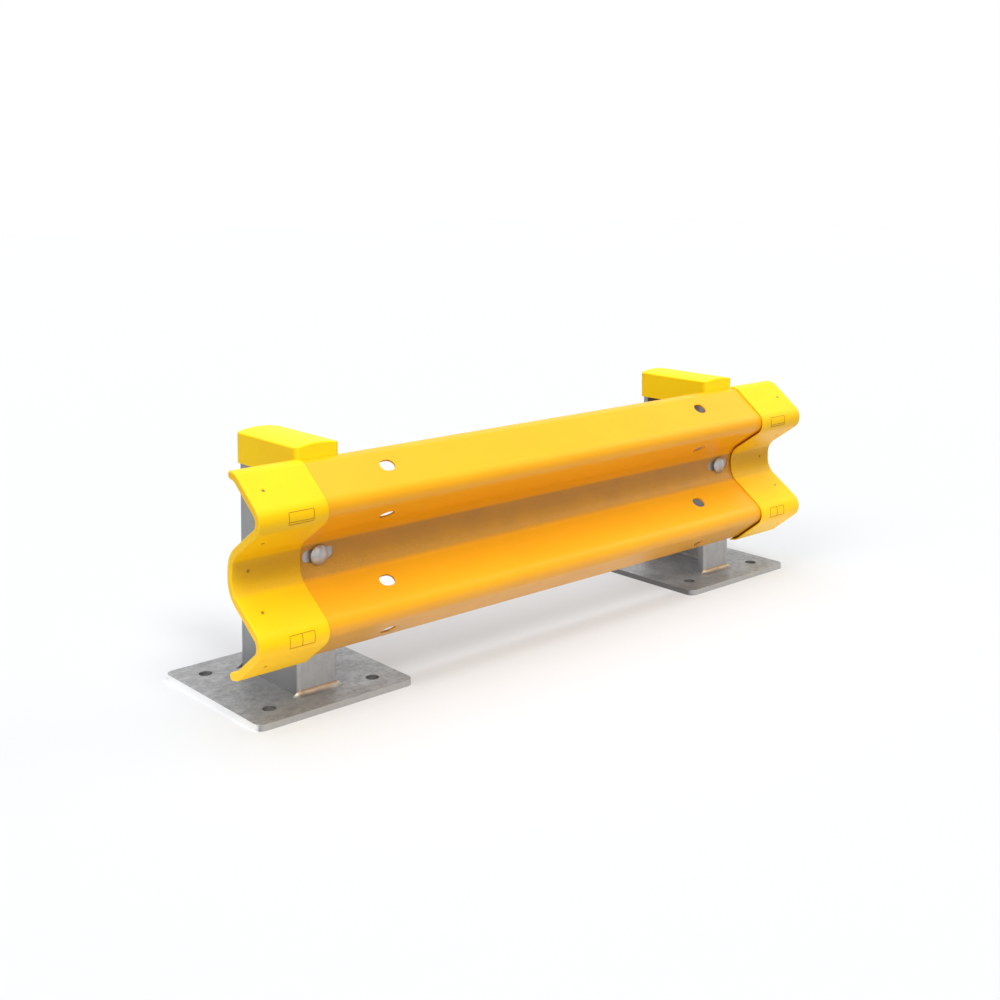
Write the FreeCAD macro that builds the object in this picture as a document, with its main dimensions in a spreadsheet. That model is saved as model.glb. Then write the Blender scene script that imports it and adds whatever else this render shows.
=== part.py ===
import FreeCAD, Part
import os
import math
import Sketcher

# Short industrial guard rail: one corrugated steel beam with a sleeve over each end, bolted to
# two channel posts that stand on square floor plates. Lengths in millimetres, angles in degrees.
# The beam runs along X, its traffic side looks to -Y, the floor is the plane z = 0. Bodies are
# drawn with y = 0 on the posts' front faces, then moved so that the object's box is centred.

V = FreeCAD.Vector
os.makedirs("parts", exist_ok=True)
DOC = FreeCAD.newDocument("guard_rail")
SHEET = DOC.addObject("Spreadsheet::Sheet", "Sizes")

# Driving sizes: one row each.
DRIVING = [
    ("post_inset", 153.0),
    ("beam_height", 227.0),
    ("beam_length", 1276.0),
    ("beam_sheet", 3.0),
    ("valley_flat", 11.2),
    ("valley_radius", 42.0),
    ("inner_angle", 55.5),
    ("inner_flank", 65.3),
    ("crest_radius", 18.0),
    ("outer_angle", 52.5),
    ("outer_flank", 65.4),
    ("lip_radius", 15.0),
    ("lip_angle", 80.0),
    ("lip_clearance", 4.5),
    ("slot_length", 60.0),
    ("slot_width", 20.0),
    ("splice_step", 105.0),
    ("splice_length", 28.0),
    ("splice_width", 22.0),
    ("splice_inner_run", 26.5),
    ("splice_outer_run", 39.0),
    ("post_depth", 170.0),
    ("post_width", 76.0),
    ("post_wall", 4.5),
    ("post_bend", 7.0),
    ("post_lip", 15.0),
    ("post_top", 396.0),
    ("bolt_size", 16.0),
    ("bolt_clearance", 2.0),
    ("plate_side", 290.0),
    ("plate_thickness", 10.0),
    ("plate_corner", 15.0),
    ("anchor_hole", 22.0),
    ("anchor_spacing", 193.0),
    ("weld_rise", 7.7),
    ("weld_spread", 11.3),
    ("weld_hollow", 20.0),
    ("weld_return", 2.0),
    ("weld_web_run", 100.0),
    ("cap_wall", 3.0),
    ("cap_clearance", 0.3),
    ("cap_skirt", 46.0),
    ("cap_crown", 4.0),
    ("cap_arch", 5.0),
    ("cover_skin", 2.6),
    ("cover_play", 2.2),
    ("cover_drop", 2.0),
    ("cover_length", 121.0),
    ("cover_end_wall", 3.5),
    ("cover_end_play", 1.5),
    ("cover_relief", 11.0),
    ("screw_inset", 29.0),
    ("screw_size", 3.2),
    ("screw_head", 5.6),
    ("screw_recess", 2.2),
    ("screw_sink", 0.5),
    ("screw_head_height", 1.6),
    ("screw_past", 0.2),
    ("screw_inner_run", 31.8),
    ("screw_outer_run", 30.9),
    ("head_diameter", 32.0),
    ("head_height", 8.5),
    ("head_rim", 2.0),
    ("washer_outer", 36.0),
    ("washer_thickness", 3.0),
    ("nut_across", 24.0),
    ("nut_height", 13.0),
    ("bolt_tail", 6.0),
    ("seat_gap", 0.1),
]

# Worked out from the driving sizes.
DERIVED = [
    ("post_x", "beam_length / 2 - post_inset"),
    ("valley_top_y", "-valley_radius * (1 - cos(inner_angle))"),
    ("valley_top_z", "valley_flat / 2 + valley_radius * sin(inner_angle)"),
    ("crest_start_y", "valley_top_y - inner_flank * sin(inner_angle)"),
    ("crest_start_z", "valley_top_z + inner_flank * cos(inner_angle)"),
    ("crest_z", "crest_start_z + crest_radius * sin(inner_angle)"),
    ("crest_y", "crest_start_y - crest_radius * (1 - cos(inner_angle))"),
    ("crest_end_y", "crest_y + crest_radius * (1 - cos(outer_angle))"),
    ("crest_end_z", "crest_z + crest_radius * sin(outer_angle)"),
    ("flank_end_y", "crest_end_y + outer_flank * sin(outer_angle)"),
    ("flank_end_z", "crest_end_z + outer_flank * cos(outer_angle)"),
    ("lip_start_y", "flank_end_y + lip_radius * (cos(outer_angle) - cos(lip_angle))"),
    ("lip_start_z", "flank_end_z + lip_radius * (sin(lip_angle) - sin(outer_angle))"),
    ("lip_length", "(-lip_clearance - lip_start_y) / sin(lip_angle)"),
    ("beam_half_height", "lip_start_z + lip_length * cos(lip_angle) + beam_sheet * sin(lip_angle)"),
    ("cover_inner_x", "beam_length / 2 + cover_end_play + cover_end_wall - cover_length"),
    ("cover_front", "beam_sheet + cover_play + cover_skin"),
    ("cover_back", "cover_play + cover_skin"),
    ("screw_x", "beam_length / 2 + cover_end_play + cover_end_wall - screw_inset"),
    ("head_rise", "valley_radius - beam_sheet - sqrt((valley_radius - beam_sheet)^2"
                  " - (head_diameter / 2 - valley_flat / 2)^2)"),
    ("head_seat_y", "-(beam_sheet + head_rise + seat_gap)"),
    ("post_hole", "bolt_size + bolt_clearance"),
    ("washer_front_y", "post_wall"),
    ("nut_front_y", "post_wall + washer_thickness"),
    ("bolt_end_y", "nut_front_y + nut_height + bolt_tail"),
    ("cap_top", "post_top + cap_crown"),
    ("cap_bottom", "post_top - cap_skirt"),
    ("cap_grow", "cap_wall + cap_clearance"),
    ("middle_y", "(post_depth / 2 + plate_side / 2 + crest_y - cover_front) / 2"),
]

ALIASES = []
for row, (alias, value) in enumerate(DRIVING + DERIVED, start=1):
    SHEET.set("A%d" % row, alias)
    SHEET.set("B%d" % row, repr(value) if isinstance(value, float) else "=" + value)
    SHEET.setAlias("B%d" % row, alias)
    ALIASES.append(alias)
DOC.recompute()


def size(alias):
    """Value of one named size, in millimetres or degrees."""
    return float(SHEET.get(alias))


def linked(text):
    """Expression text with every size name pointed at the sheet."""
    out = ""
    word = ""
    for letter in text + " ":
        if letter.isalnum() or letter == "_":
            word += letter
            continue
        out += "Sizes." + word if word in ALIASES else word
        out += letter
        word = ""
    return out.strip()


READER = DOC.addObject("App::FeaturePython", "Reader")
READER.addProperty("App::PropertyFloat", "Number")


def value_of(text):
    """Number that an expression over the named sizes gives."""
    READER.setExpression("Number", linked(text))
    READER.recompute()
    result = float(READER.Number)
    READER.setExpression("Number", None)
    return result


def body(label):
    """New named body of the model."""
    item = DOC.addObject("PartDesign::Body", label)
    item.Label = label
    return item


def place(item, x="0", y="0", z="0", turn=0.0):
    """Position of a body in the object's frame, with a half turn about z where asked."""
    item.Placement = FreeCAD.Placement(V(0, 0, 0), FreeCAD.Rotation(V(0, 0, 1), turn))
    item.setExpression("Placement.Base.x", linked(x))
    item.setExpression("Placement.Base.y", linked("(%s) - middle_y" % y))
    item.setExpression("Placement.Base.z", linked(z))


def sketch_on(item, role, name, offset="0"):
    """Sketch on one origin plane of the body, moved off it along the plane's normal."""
    plane = [feature for feature in item.Origin.OriginFeatures if feature.Role == role][0]
    sketch = item.newObject("Sketcher::SketchObject", name)
    sketch.AttachmentSupport = (plane, [""])
    sketch.MapMode = "FlatFace"
    if offset != "0":
        sketch.setExpression("AttachmentOffset.Base.z", linked(offset))
    return sketch


def bind(sketch, constraint, text):
    """Add one dimension to a sketch and tie it to the sheet."""
    index = sketch.addConstraint(constraint)
    sketch.setExpression("Constraints[%d]" % index, linked(text))
    return index


def pin(sketch, geometry, vertex, x, y):
    """Hold one sketch point at two expressions measured from the sketch origin."""
    for kind, axis, text in (("DistanceX", -2, x), ("DistanceY", -1, y)):
        if text == "0":
            sketch.addConstraint(Sketcher.Constraint("PointOnObject", geometry, vertex, axis))
        else:
            bind(sketch, Sketcher.Constraint(kind, -1, 1, geometry, vertex, value_of(text)), text)


def polygon(sketch, corners):
    """Closed outline through corners given as pairs of expressions."""
    points = [V(value_of(x), value_of(y), 0) for x, y in corners]
    count = len(points)
    first = sketch.GeometryCount
    for index in range(count):
        sketch.addGeometry(Part.LineSegment(points[index], points[(index + 1) % count]), False)
    for index in range(count):
        follower = first + (index + 1) % count
        sketch.addConstraint(Sketcher.Constraint("Coincident", first + index, 2, follower, 1))
    for index, (x, y) in enumerate(corners):
        pin(sketch, first + index, 1, x, y)


def box_outline(sketch, x_low, x_high, y_low, y_high):
    """Rectangle between four expressions."""
    polygon(sketch, [(x_low, y_low), (x_high, y_low), (x_high, y_high), (x_low, y_high)])


def circle(sketch, x, y, diameter):
    """Circle about a point given by expressions."""
    centre = V(value_of(x), value_of(y), 0)
    index = sketch.addGeometry(Part.Circle(centre, V(0, 0, 1), value_of(diameter) / 2), False)
    pin(sketch, index, 3, x, y)
    bind(sketch, Sketcher.Constraint("Diameter", index, value_of(diameter)), diameter)


def long_hole(sketch, x, y, length, width):
    """Round-ended hole along the sketch's first axis."""
    cx, cy = value_of(x), value_of(y)
    radius = value_of(width) / 2
    half = value_of(length) / 2 - radius
    left = sketch.addGeometry(
        Part.ArcOfCircle(Part.Circle(V(cx - half, cy, 0), V(0, 0, 1), radius), math.pi / 2, 3 * math.pi / 2),
        False)
    right = sketch.addGeometry(
        Part.ArcOfCircle(Part.Circle(V(cx + half, cy, 0), V(0, 0, 1), radius), -math.pi / 2, math.pi / 2),
        False)
    top = sketch.addGeometry(Part.LineSegment(V(cx - half, cy + radius, 0), V(cx + half, cy + radius, 0)), False)
    base = sketch.addGeometry(Part.LineSegment(V(cx - half, cy - radius, 0), V(cx + half, cy - radius, 0)), False)
    sketch.addConstraint(Sketcher.Constraint("Tangent", left, 1, top, 1))
    sketch.addConstraint(Sketcher.Constraint("Tangent", top, 2, right, 2))
    sketch.addConstraint(Sketcher.Constraint("Tangent", right, 1, base, 2))
    sketch.addConstraint(Sketcher.Constraint("Tangent", base, 1, left, 2))
    sketch.addConstraint(Sketcher.Constraint("Horizontal", top))
    sketch.addConstraint(Sketcher.Constraint("Horizontal", base))
    shift = "(%s) / 2 - (%s) / 2" % (length, width)
    pin(sketch, left, 3, "(%s) - (%s)" % (x, shift), y)
    bind(sketch, Sketcher.Constraint("DistanceX", -1, 1, right, 3, cx + half), "(%s) + (%s)" % (x, shift))
    bind(sketch, Sketcher.Constraint("Radius", left, radius), "(%s) / 2" % width)


def pad(item, sketch, name, length, both=False, backward=False):
    """Solid drawn out from a sketch."""
    feature = item.newObject("PartDesign::Pad", name)
    feature.Profile = sketch
    feature.setExpression("Length", linked(length))
    feature.SideType = "Symmetric" if both else "One side"
    feature.Reversed = backward
    sketch.Visibility = False
    DOC.recompute()
    return feature


def pocket(item, sketch, name, length="0", both=False, backward=False):
    """Cut drawn from a sketch; a zero length goes right through both ways."""
    feature = item.newObject("PartDesign::Pocket", name)
    feature.Profile = sketch
    if length == "0":
        feature.Type = "ThroughAll"
        feature.SideType = "Symmetric"
    else:
        feature.setExpression("Length", linked(length))
        feature.SideType = "Symmetric" if both else "One side"
    feature.Reversed = backward
    sketch.Visibility = False
    DOC.recompute()
    return feature


def mirrored(item, name, originals, role):
    """Copies of features across one origin plane of the body."""
    plane = [feature for feature in item.Origin.OriginFeatures if feature.Role == role][0]
    feature = item.newObject("PartDesign::Mirrored", name)
    feature.Originals = originals
    feature.MirrorPlane = (plane, [""])
    item.Tip = feature
    DOC.recompute()
    return feature


def rounded(item, name, chooser, radius):
    """Fillet of the edges of the present tip that the chooser accepts."""
    base = item.Tip
    names = []
    for index, edge in enumerate(base.Shape.Edges, start=1):
        if chooser(edge):
            names.append("Edge%d" % index)
    feature = item.newObject("PartDesign::Fillet", name)
    feature.Base = (base, names)
    feature.setExpression("Radius", linked(radius))
    item.Tip = feature
    DOC.recompute()
    return feature


def upright(edge, x=None, y=None):
    """True for a straight edge along z, at one plan position where that is given."""
    low, high = edge.BoundBox, edge.CenterOfMass
    straight = low.XLength < 1e-4 and low.YLength < 1e-4 and low.ZLength > 1e-3
    return straight and (x is None or abs(high.x - x) < 1e-3) and (y is None or abs(high.y - y) < 1e-3)


def w_half(sketch, back, front, reach, round_end):
    """Upper half of the beam's section between two offsets from the beam's back surface.

    The lip runs on past the beam's own edge by the reach; its end is square or a half round.
    """
    b, f, past = value_of(back), value_of(front), value_of(reach)
    si, ci = math.sin(math.radians(size("inner_angle"))), math.cos(math.radians(size("inner_angle")))
    so, co = math.sin(math.radians(size("outer_angle"))), math.cos(math.radians(size("outer_angle")))
    sl, cl = math.sin(math.radians(size("lip_angle"))), math.cos(math.radians(size("lip_angle")))
    flat = size("valley_flat") / 2
    valley, crest, bend = size("valley_radius"), size("crest_radius"), size("lip_radius")
    valley_centre = V(-valley, flat, 0)
    crest_centre = V(size("crest_start_y") + crest * ci, size("crest_start_z") + crest * si, 0)
    bend_centre = V(size("flank_end_y") + bend * co, size("flank_end_z") - bend * so, 0)
    tip = V(-size("lip_clearance"), size("lip_start_z") + size("lip_length") * cl, 0)
    end = past - (f - b) / 2 if round_end else past

    def path(offset):
        """Corner points of the section at one offset from the back surface."""
        return [
            V(-offset, 0, 0),
            V(-offset, flat, 0),
            valley_centre + V(ci, si, 0) * (valley - offset),
            crest_centre - V(ci, si, 0) * (crest + offset),
            crest_centre + V(-co, so, 0) * (crest + offset),
            bend_centre + V(-co, so, 0) * (bend + offset),
            bend_centre + V(-cl, sl, 0) * (bend + offset),
            tip + V(-cl, sl, 0) * offset + V(sl, cl, 0) * end,
        ]

    def through(start, stop, centre, radius):
        """Arc between two points on the side of the circle that they share."""
        middle = (start + stop) * 0.5 - centre
        middle.normalize()
        return Part.Arc(start, centre + middle * radius, stop)

    chains = []
    for offset in (b, f):
        p = path(offset)
        chain = [
            sketch.addGeometry(Part.LineSegment(p[0], p[1]), False),
            sketch.addGeometry(through(p[1], p[2], valley_centre, valley - offset), False),
            sketch.addGeometry(Part.LineSegment(p[2], p[3]), False),
            sketch.addGeometry(through(p[3], p[4], crest_centre, crest + offset), False),
            sketch.addGeometry(Part.LineSegment(p[4], p[5]), False),
            sketch.addGeometry(through(p[5], p[6], bend_centre, bend + offset), False),
            sketch.addGeometry(Part.LineSegment(p[6], p[7]), False),
        ]
        chains.append((chain, p))

    def vertex(index, point):
        """Number of the end of a curve that lies at a point."""
        return 1 if sketch.getPoint(index, 1).distanceToPoint(point) < 1e-6 else 2

    for chain, p in chains:
        for step in range(6):
            joint = p[step + 1]
            sketch.addConstraint(Sketcher.Constraint(
                "Tangent", chain[step], vertex(chain[step], joint), chain[step + 1], vertex(chain[step + 1], joint)))
        sketch.addConstraint(Sketcher.Constraint("Vertical", chain[0]))
        sketch.addConstraint(Sketcher.Constraint("PointOnObject", chain[0], 1, -1))
    rear, face = chains[0][0], chains[1][0]
    if back == "0":
        sketch.addConstraint(Sketcher.Constraint("PointOnObject", rear[0], 1, -2))
    else:
        bind(sketch, Sketcher.Constraint("DistanceX", -1, 1, rear[0], 1, -b), "-(%s)" % back)
    bind(sketch, Sketcher.Constraint("DistanceY", -1, 1, rear[0], 2, flat), "valley_flat / 2")
    bind(sketch, Sketcher.Constraint("Distance", rear[2], size("inner_flank")), "inner_flank")
    bind(sketch, Sketcher.Constraint("Distance", rear[4], size("outer_flank")), "outer_flank")
    angles = ((2, "90 + inner_angle"), (4, "90 - outer_angle"), (6, "90 - lip_angle"))
    for step, text in angles:
        turn = Sketcher.Constraint("Angle", rear[step], math.radians(value_of(text)))
        index = sketch.addConstraint(turn)
        sketch.setExpression("Constraints[%d]" % index, "(" + linked(text) + ") * 1deg")
    radii = ((1, valley, "valley_radius - (%s)"), (3, crest, "crest_radius + (%s)"), (5, bend, "lip_radius + (%s)"))
    for step, base, text in radii:
        for chain, offset, words in ((rear, b, back), (face, f, front)):
            value = base - offset if step == 1 else base + offset
            bind(sketch, Sketcher.Constraint("Radius", chain[step], value), text % words)
        sketch.addConstraint(Sketcher.Constraint("Coincident", rear[step], 3, face[step], 3))
    sketch.addConstraint(Sketcher.Constraint("Parallel", rear[6], face[6]))
    close = sketch.addGeometry(Part.LineSegment(chains[0][1][0], chains[1][1][0]), False)
    sketch.addConstraint(Sketcher.Constraint("Coincident", close, 1, rear[0], 1))
    sketch.addConstraint(Sketcher.Constraint("Coincident", close, 2, face[0], 1))
    start, stop = chains[0][1][7], chains[1][1][7]
    if round_end:
        middle = (start + stop) * 0.5 + V(sl, cl, 0) * ((f - b) / 2)
        cap = sketch.addGeometry(Part.Arc(start, middle, stop), False)
        sketch.addConstraint(Sketcher.Constraint("Tangent", rear[6], 2, cap, vertex(cap, start)))
        sketch.addConstraint(Sketcher.Constraint("Tangent", face[6], 2, cap, vertex(cap, stop)))
        run = "(%s) - ((%s) - (%s)) / 2" % (reach, front, back)
    else:
        cap = sketch.addGeometry(Part.LineSegment(start, stop), False)
        sketch.addConstraint(Sketcher.Constraint("Coincident", cap, 1, rear[6], 2))
        sketch.addConstraint(Sketcher.Constraint("Coincident", cap, 2, face[6], 2))
        sketch.addConstraint(Sketcher.Constraint("Perpendicular", cap, rear[6]))
        run = reach
    text = "-lip_clearance - (%s) * cos(lip_angle) + (%s) * sin(lip_angle)" % (back, run)
    bind(sketch, Sketcher.Constraint("DistanceX", -1, 1, rear[6], 2, start.x), text)


def tilt(sketch, x, y, z, angle):
    """Move a sketch of the XZ plane onto a flank: offsets along X, Z and -Y, then the lean."""
    sketch.AttachmentOffset = FreeCAD.Placement(V(0, 0, 0), FreeCAD.Rotation(V(1, 0, 0), 1.0))
    sketch.setExpression("AttachmentOffset.Base.x", linked(x))
    sketch.setExpression("AttachmentOffset.Base.y", linked(y))
    sketch.setExpression("AttachmentOffset.Base.z", linked(z))
    sketch.setExpression("AttachmentOffset.Rotation.Angle", linked(angle))


# Points of the flanks measured from the bend they start at, as (y, z) expressions.
def inner_point(run, lift):
    """Point on the inner flank at a run from the valley bend and a height over the back surface."""
    y = "valley_top_y - (%s) * sin(inner_angle) - (%s) * cos(inner_angle)" % (run, lift)
    z = "valley_top_z + (%s) * cos(inner_angle) - (%s) * sin(inner_angle)" % (run, lift)
    return y, z


def outer_point(run, lift):
    """Point on the outer flank at a run from the crest bend and a height over the back surface."""
    y = "crest_end_y + (%s) * sin(outer_angle) - (%s) * cos(outer_angle)" % (run, lift)
    z = "crest_end_z + (%s) * cos(outer_angle) + (%s) * sin(outer_angle)" % (run, lift)
    return y, z


def flank_sketch(item, name, x, point, angle):
    """Sketch lying in a flank of the section, its first axis along the beam."""
    sketch = sketch_on(item, "XZ_Plane", name)
    tilt(sketch, x, point[1], "-(%s)" % point[0], angle)
    return sketch


def build_beam():
    """Corrugated beam with its post slots and the splice holes at both ends."""
    item = body("rail_beam")
    sketch = sketch_on(item, "YZ_Plane", "beam_section")
    w_half(sketch, "0", "beam_sheet", "0", False)
    DOC.recompute()
    half = pad(item, sketch, "beam_half", "beam_length", both=True)
    mirrored(item, "beam_whole", [half], "XY_Plane")
    slot = sketch_on(item, "XZ_Plane", "post_slots")
    long_hole(slot, "post_x", "0", "slot_length", "slot_width")
    long_hole(slot, "-post_x", "0", "slot_length", "slot_width")
    DOC.recompute()
    pocket(item, slot, "post_slot_cut", "4 * beam_sheet", both=True)
    inner = inner_point("splice_inner_run", "beam_sheet / 2")
    outer = outer_point("splice_outer_run", "beam_sheet / 2")
    cuts = []
    for name, point, angle in (("inner", inner, "inner_angle"), ("outer", outer, "-outer_angle")):
        holes = flank_sketch(item, "splice_" + name, "0", point, angle)
        for shift in ("-splice_step", "splice_step"):
            for side in ("-post_x", "post_x"):
                long_hole(holes, "%s + %s" % (side, shift), "0", "splice_length", "splice_width")
        DOC.recompute()
        cuts.append(pocket(item, holes, "splice_%s_cut" % name, "4 * beam_sheet", both=True))
    mirrored(item, "splice_lower", cuts, "XY_Plane")
    inner = inner_point("screw_inner_run", "beam_sheet / 2")
    outer = outer_point("screw_outer_run", "beam_sheet / 2")
    cuts = []
    for name, point, angle in (("inner", inner, "inner_angle"), ("outer", outer, "-outer_angle")):
        holes = flank_sketch(item, "screw_" + name, "0", point, angle)
        for side in ("-screw_x", "screw_x"):
            circle(holes, side, "0", "screw_size")
        DOC.recompute()
        cuts.append(pocket(item, holes, "screw_%s_cut" % name, "4 * beam_sheet", both=True))
    mirrored(item, "screw_lower", cuts, "XY_Plane")
    holes = sketch_on(item, "XZ_Plane", "screw_valley")
    for side in ("-screw_x", "screw_x"):
        circle(holes, side, "0", "screw_size")
    DOC.recompute()
    pocket(item, holes, "screw_valley_cut", "4 * beam_sheet", both=True)
    place(item, z="beam_height")
    return item


def build_post(label, side):
    """Lipped channel; its web is outboard and its open side looks to the other post."""
    item = body(label)
    half, wall, lip = "post_width / 2", "post_wall", "post_lip"
    sketch = sketch_on(item, "XY_Plane", label + "_section", "plate_thickness")
    polygon(sketch, [
        ("-" + half, "0"),
        (half, "0"),
        (half, lip),
        ("%s - %s" % (half, wall), lip),
        ("%s - %s" % (half, wall), wall),
        ("%s - %s" % (wall, half), wall),
        ("%s - %s" % (wall, half), "post_depth - " + wall),
        ("%s - %s" % (half, wall), "post_depth - " + wall),
        ("%s - %s" % (half, wall), "post_depth - " + lip),
        (half, "post_depth - " + lip),
        (half, "post_depth"),
        ("-" + half, "post_depth"),
    ])
    DOC.recompute()
    pad(item, sketch, label + "_blank", "post_top - plate_thickness")
    x, y, t = size("post_width") / 2, size("post_depth"), size("post_wall")
    rounded(item, label + "_bends", lambda edge: any(
        upright(edge, a, b) for a in (-x, x) for b in (0.0, y)), "post_bend")
    rounded(item, label + "_inner_bends", lambda edge: any(
        upright(edge, a, b) for a in (t - x, x - t) for b in (t, y - t)), "post_bend - post_wall")
    holes = sketch_on(item, "XZ_Plane", label + "_holes")
    circle(holes, "0", "beam_height", "post_hole")
    DOC.recompute()
    pocket(item, holes, label + "_hole_cut")
    if side < 0:
        place(item, "-post_x")
    else:
        place(item, "post_x", "post_depth", turn=180.0)
    return item


def build_plate(label, side):
    """Square floor plate with rounded corners and four anchor holes."""
    item = body(label)
    sketch = sketch_on(item, "XY_Plane", label + "_outline")
    box_outline(sketch, "-plate_side / 2", "plate_side / 2", "-plate_side / 2", "plate_side / 2")
    DOC.recompute()
    pad(item, sketch, label + "_blank", "plate_thickness")
    rounded(item, label + "_corners", upright, "plate_corner")
    holes = sketch_on(item, "XY_Plane", label + "_holes")
    for across in ("-anchor_spacing / 2", "anchor_spacing / 2"):
        for along in ("-anchor_spacing / 2", "anchor_spacing / 2"):
            circle(holes, across, along, "anchor_hole")
    DOC.recompute()
    pocket(item, holes, label + "_hole_cut")
    place(item, "post_x * %d" % side, "post_depth / 2")
    return item


def bead_outline(sketch, foot, outward):
    """Hollow fillet section between an upright face at x = foot and the plate under it."""
    reach = "%s %s weld_spread" % (foot, outward)
    toe, top = "plate_thickness", "plate_thickness + weld_rise"
    x, far, low, high = value_of(foot), value_of(reach), value_of(toe), value_of(top)
    radius = size("weld_hollow")
    start, stop = V(x, high, 0), V(far, low, 0)
    chord = stop - start
    across = V(chord.y, -chord.x, 0) if chord.x < 0 else V(-chord.y, chord.x, 0)
    across.normalize()
    if across.y < 0:
        across = across * -1
    centre = (start + stop) * 0.5 + across * math.sqrt(radius ** 2 - (chord.Length / 2) ** 2)
    wall = sketch.addGeometry(Part.LineSegment(V(x, low, 0), start), False)
    face = sketch.addGeometry(Part.Arc(start, centre - across * radius, stop), False)
    base = sketch.addGeometry(Part.LineSegment(stop, V(x, low, 0)), False)
    start_end = 1 if sketch.getPoint(face, 1).distanceToPoint(start) < 1e-6 else 2
    sketch.addConstraint(Sketcher.Constraint("Coincident", wall, 2, face, start_end))
    sketch.addConstraint(Sketcher.Constraint("Coincident", face, 3 - start_end, base, 1))
    sketch.addConstraint(Sketcher.Constraint("Coincident", base, 2, wall, 1))
    pin(sketch, wall, 1, foot, toe)
    pin(sketch, wall, 2, foot, top)
    pin(sketch, base, 1, reach, toe)
    bind(sketch, Sketcher.Constraint("Radius", face, radius), "weld_hollow")


def build_flange_weld(label, side, rear):
    """Hollow fillet bead along the foot of one flange, run onto its corners and ended square there."""
    item = body(label)
    half, bend, end = "post_width / 2", "post_bend", "2 * post_bend"
    zero, stops = "0", ("weld_return", "3 * post_bend")
    if rear:
        bend, end, zero = "post_depth - post_bend", "post_depth - 2 * post_bend", "post_depth"
        stops = ("post_depth - 3 * post_bend", "post_depth - weld_return")
    path = sketch_on(item, "XY_Plane", label + "_path", "plate_thickness")
    x, r = size("post_width") / 2, size("post_bend")
    side_y, bend_y, front_y = value_of(end), value_of(bend), value_of(zero)
    turn = 1 if rear else -1
    slant = V(r * math.sqrt(0.5), r * math.sqrt(0.5) * turn, 0)
    lines = [
        path.addGeometry(Part.LineSegment(V(-x, side_y, 0), V(-x, bend_y, 0)), False),
        path.addGeometry(Part.LineSegment(V(r - x, front_y, 0), V(x - r, front_y, 0)), False),
        path.addGeometry(Part.LineSegment(V(x, bend_y, 0), V(x, side_y, 0)), False),
    ]
    arcs = [
        path.addGeometry(Part.Arc(V(-x, bend_y, 0), V(r - x - slant.x, bend_y + slant.y, 0), V(r - x, front_y, 0)),
                         False),
        path.addGeometry(Part.Arc(V(x - r, front_y, 0), V(x - r + slant.x, bend_y + slant.y, 0), V(x, bend_y, 0)),
                         False),
    ]
    joints = ((lines[0], 2, arcs[0], V(-x, bend_y, 0)), (lines[1], 1, arcs[0], V(r - x, front_y, 0)),
              (lines[1], 2, arcs[1], V(x - r, front_y, 0)), (lines[2], 1, arcs[1], V(x, bend_y, 0)))
    for line, line_end, arc, point in joints:
        arc_end = 1 if path.getPoint(arc, 1).distanceToPoint(point) < 1e-6 else 2
        path.addConstraint(Sketcher.Constraint("Tangent", line, line_end, arc, arc_end))
    pin(path, lines[0], 1, "-" + half, end)
    pin(path, lines[2], 2, half, end)
    path.addConstraint(Sketcher.Constraint("Vertical", lines[0]))
    path.addConstraint(Sketcher.Constraint("Vertical", lines[2]))
    path.addConstraint(Sketcher.Constraint("Horizontal", lines[1]))
    if rear:
        bind(path, Sketcher.Constraint("DistanceY", -1, 1, lines[1], 1, front_y), zero)
    else:
        path.addConstraint(Sketcher.Constraint("PointOnObject", lines[1], 1, -1))
    for arc in arcs:
        bind(path, Sketcher.Constraint("Radius", arc, r), "post_bend")
    section = sketch_on(item, "XZ_Plane", label + "_section", "-(%s)" % end)
    bead_outline(section, "-" + half, "-")
    DOC.recompute()
    bead = item.newObject("PartDesign::AdditivePipe", label + "_bead")
    bead.Profile = section
    bead.Spine = (path, [])
    section.Visibility = False
    path.Visibility = False
    item.Tip = bead
    DOC.recompute()
    ends = sketch_on(item, "XY_Plane", label + "_ends", "plate_thickness")
    box_outline(ends, "-post_width / 2 - 2 * weld_spread", "post_width / 2 + 2 * weld_spread", stops[0], stops[1])
    DOC.recompute()
    pocket(item, ends, label + "_end_cut")
    turn_into_place(item, side)
    return item


def build_web_weld(label, side):
    """Bead along the foot of the web, inside the channel."""
    item = body(label)
    sketch = sketch_on(item, "XZ_Plane", label + "_section", "-post_depth / 2")
    bead_outline(sketch, "post_wall - post_width / 2", "+")
    DOC.recompute()
    pad(item, sketch, label + "_bead", "weld_web_run", both=True)
    turn_into_place(item, side)
    return item


def turn_into_place(item, side):
    """Put a body made round the left post where it belongs on either side."""
    if side < 0:
        place(item, "-post_x")
    else:
        place(item, "post_x", "post_depth", turn=180.0)


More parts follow.
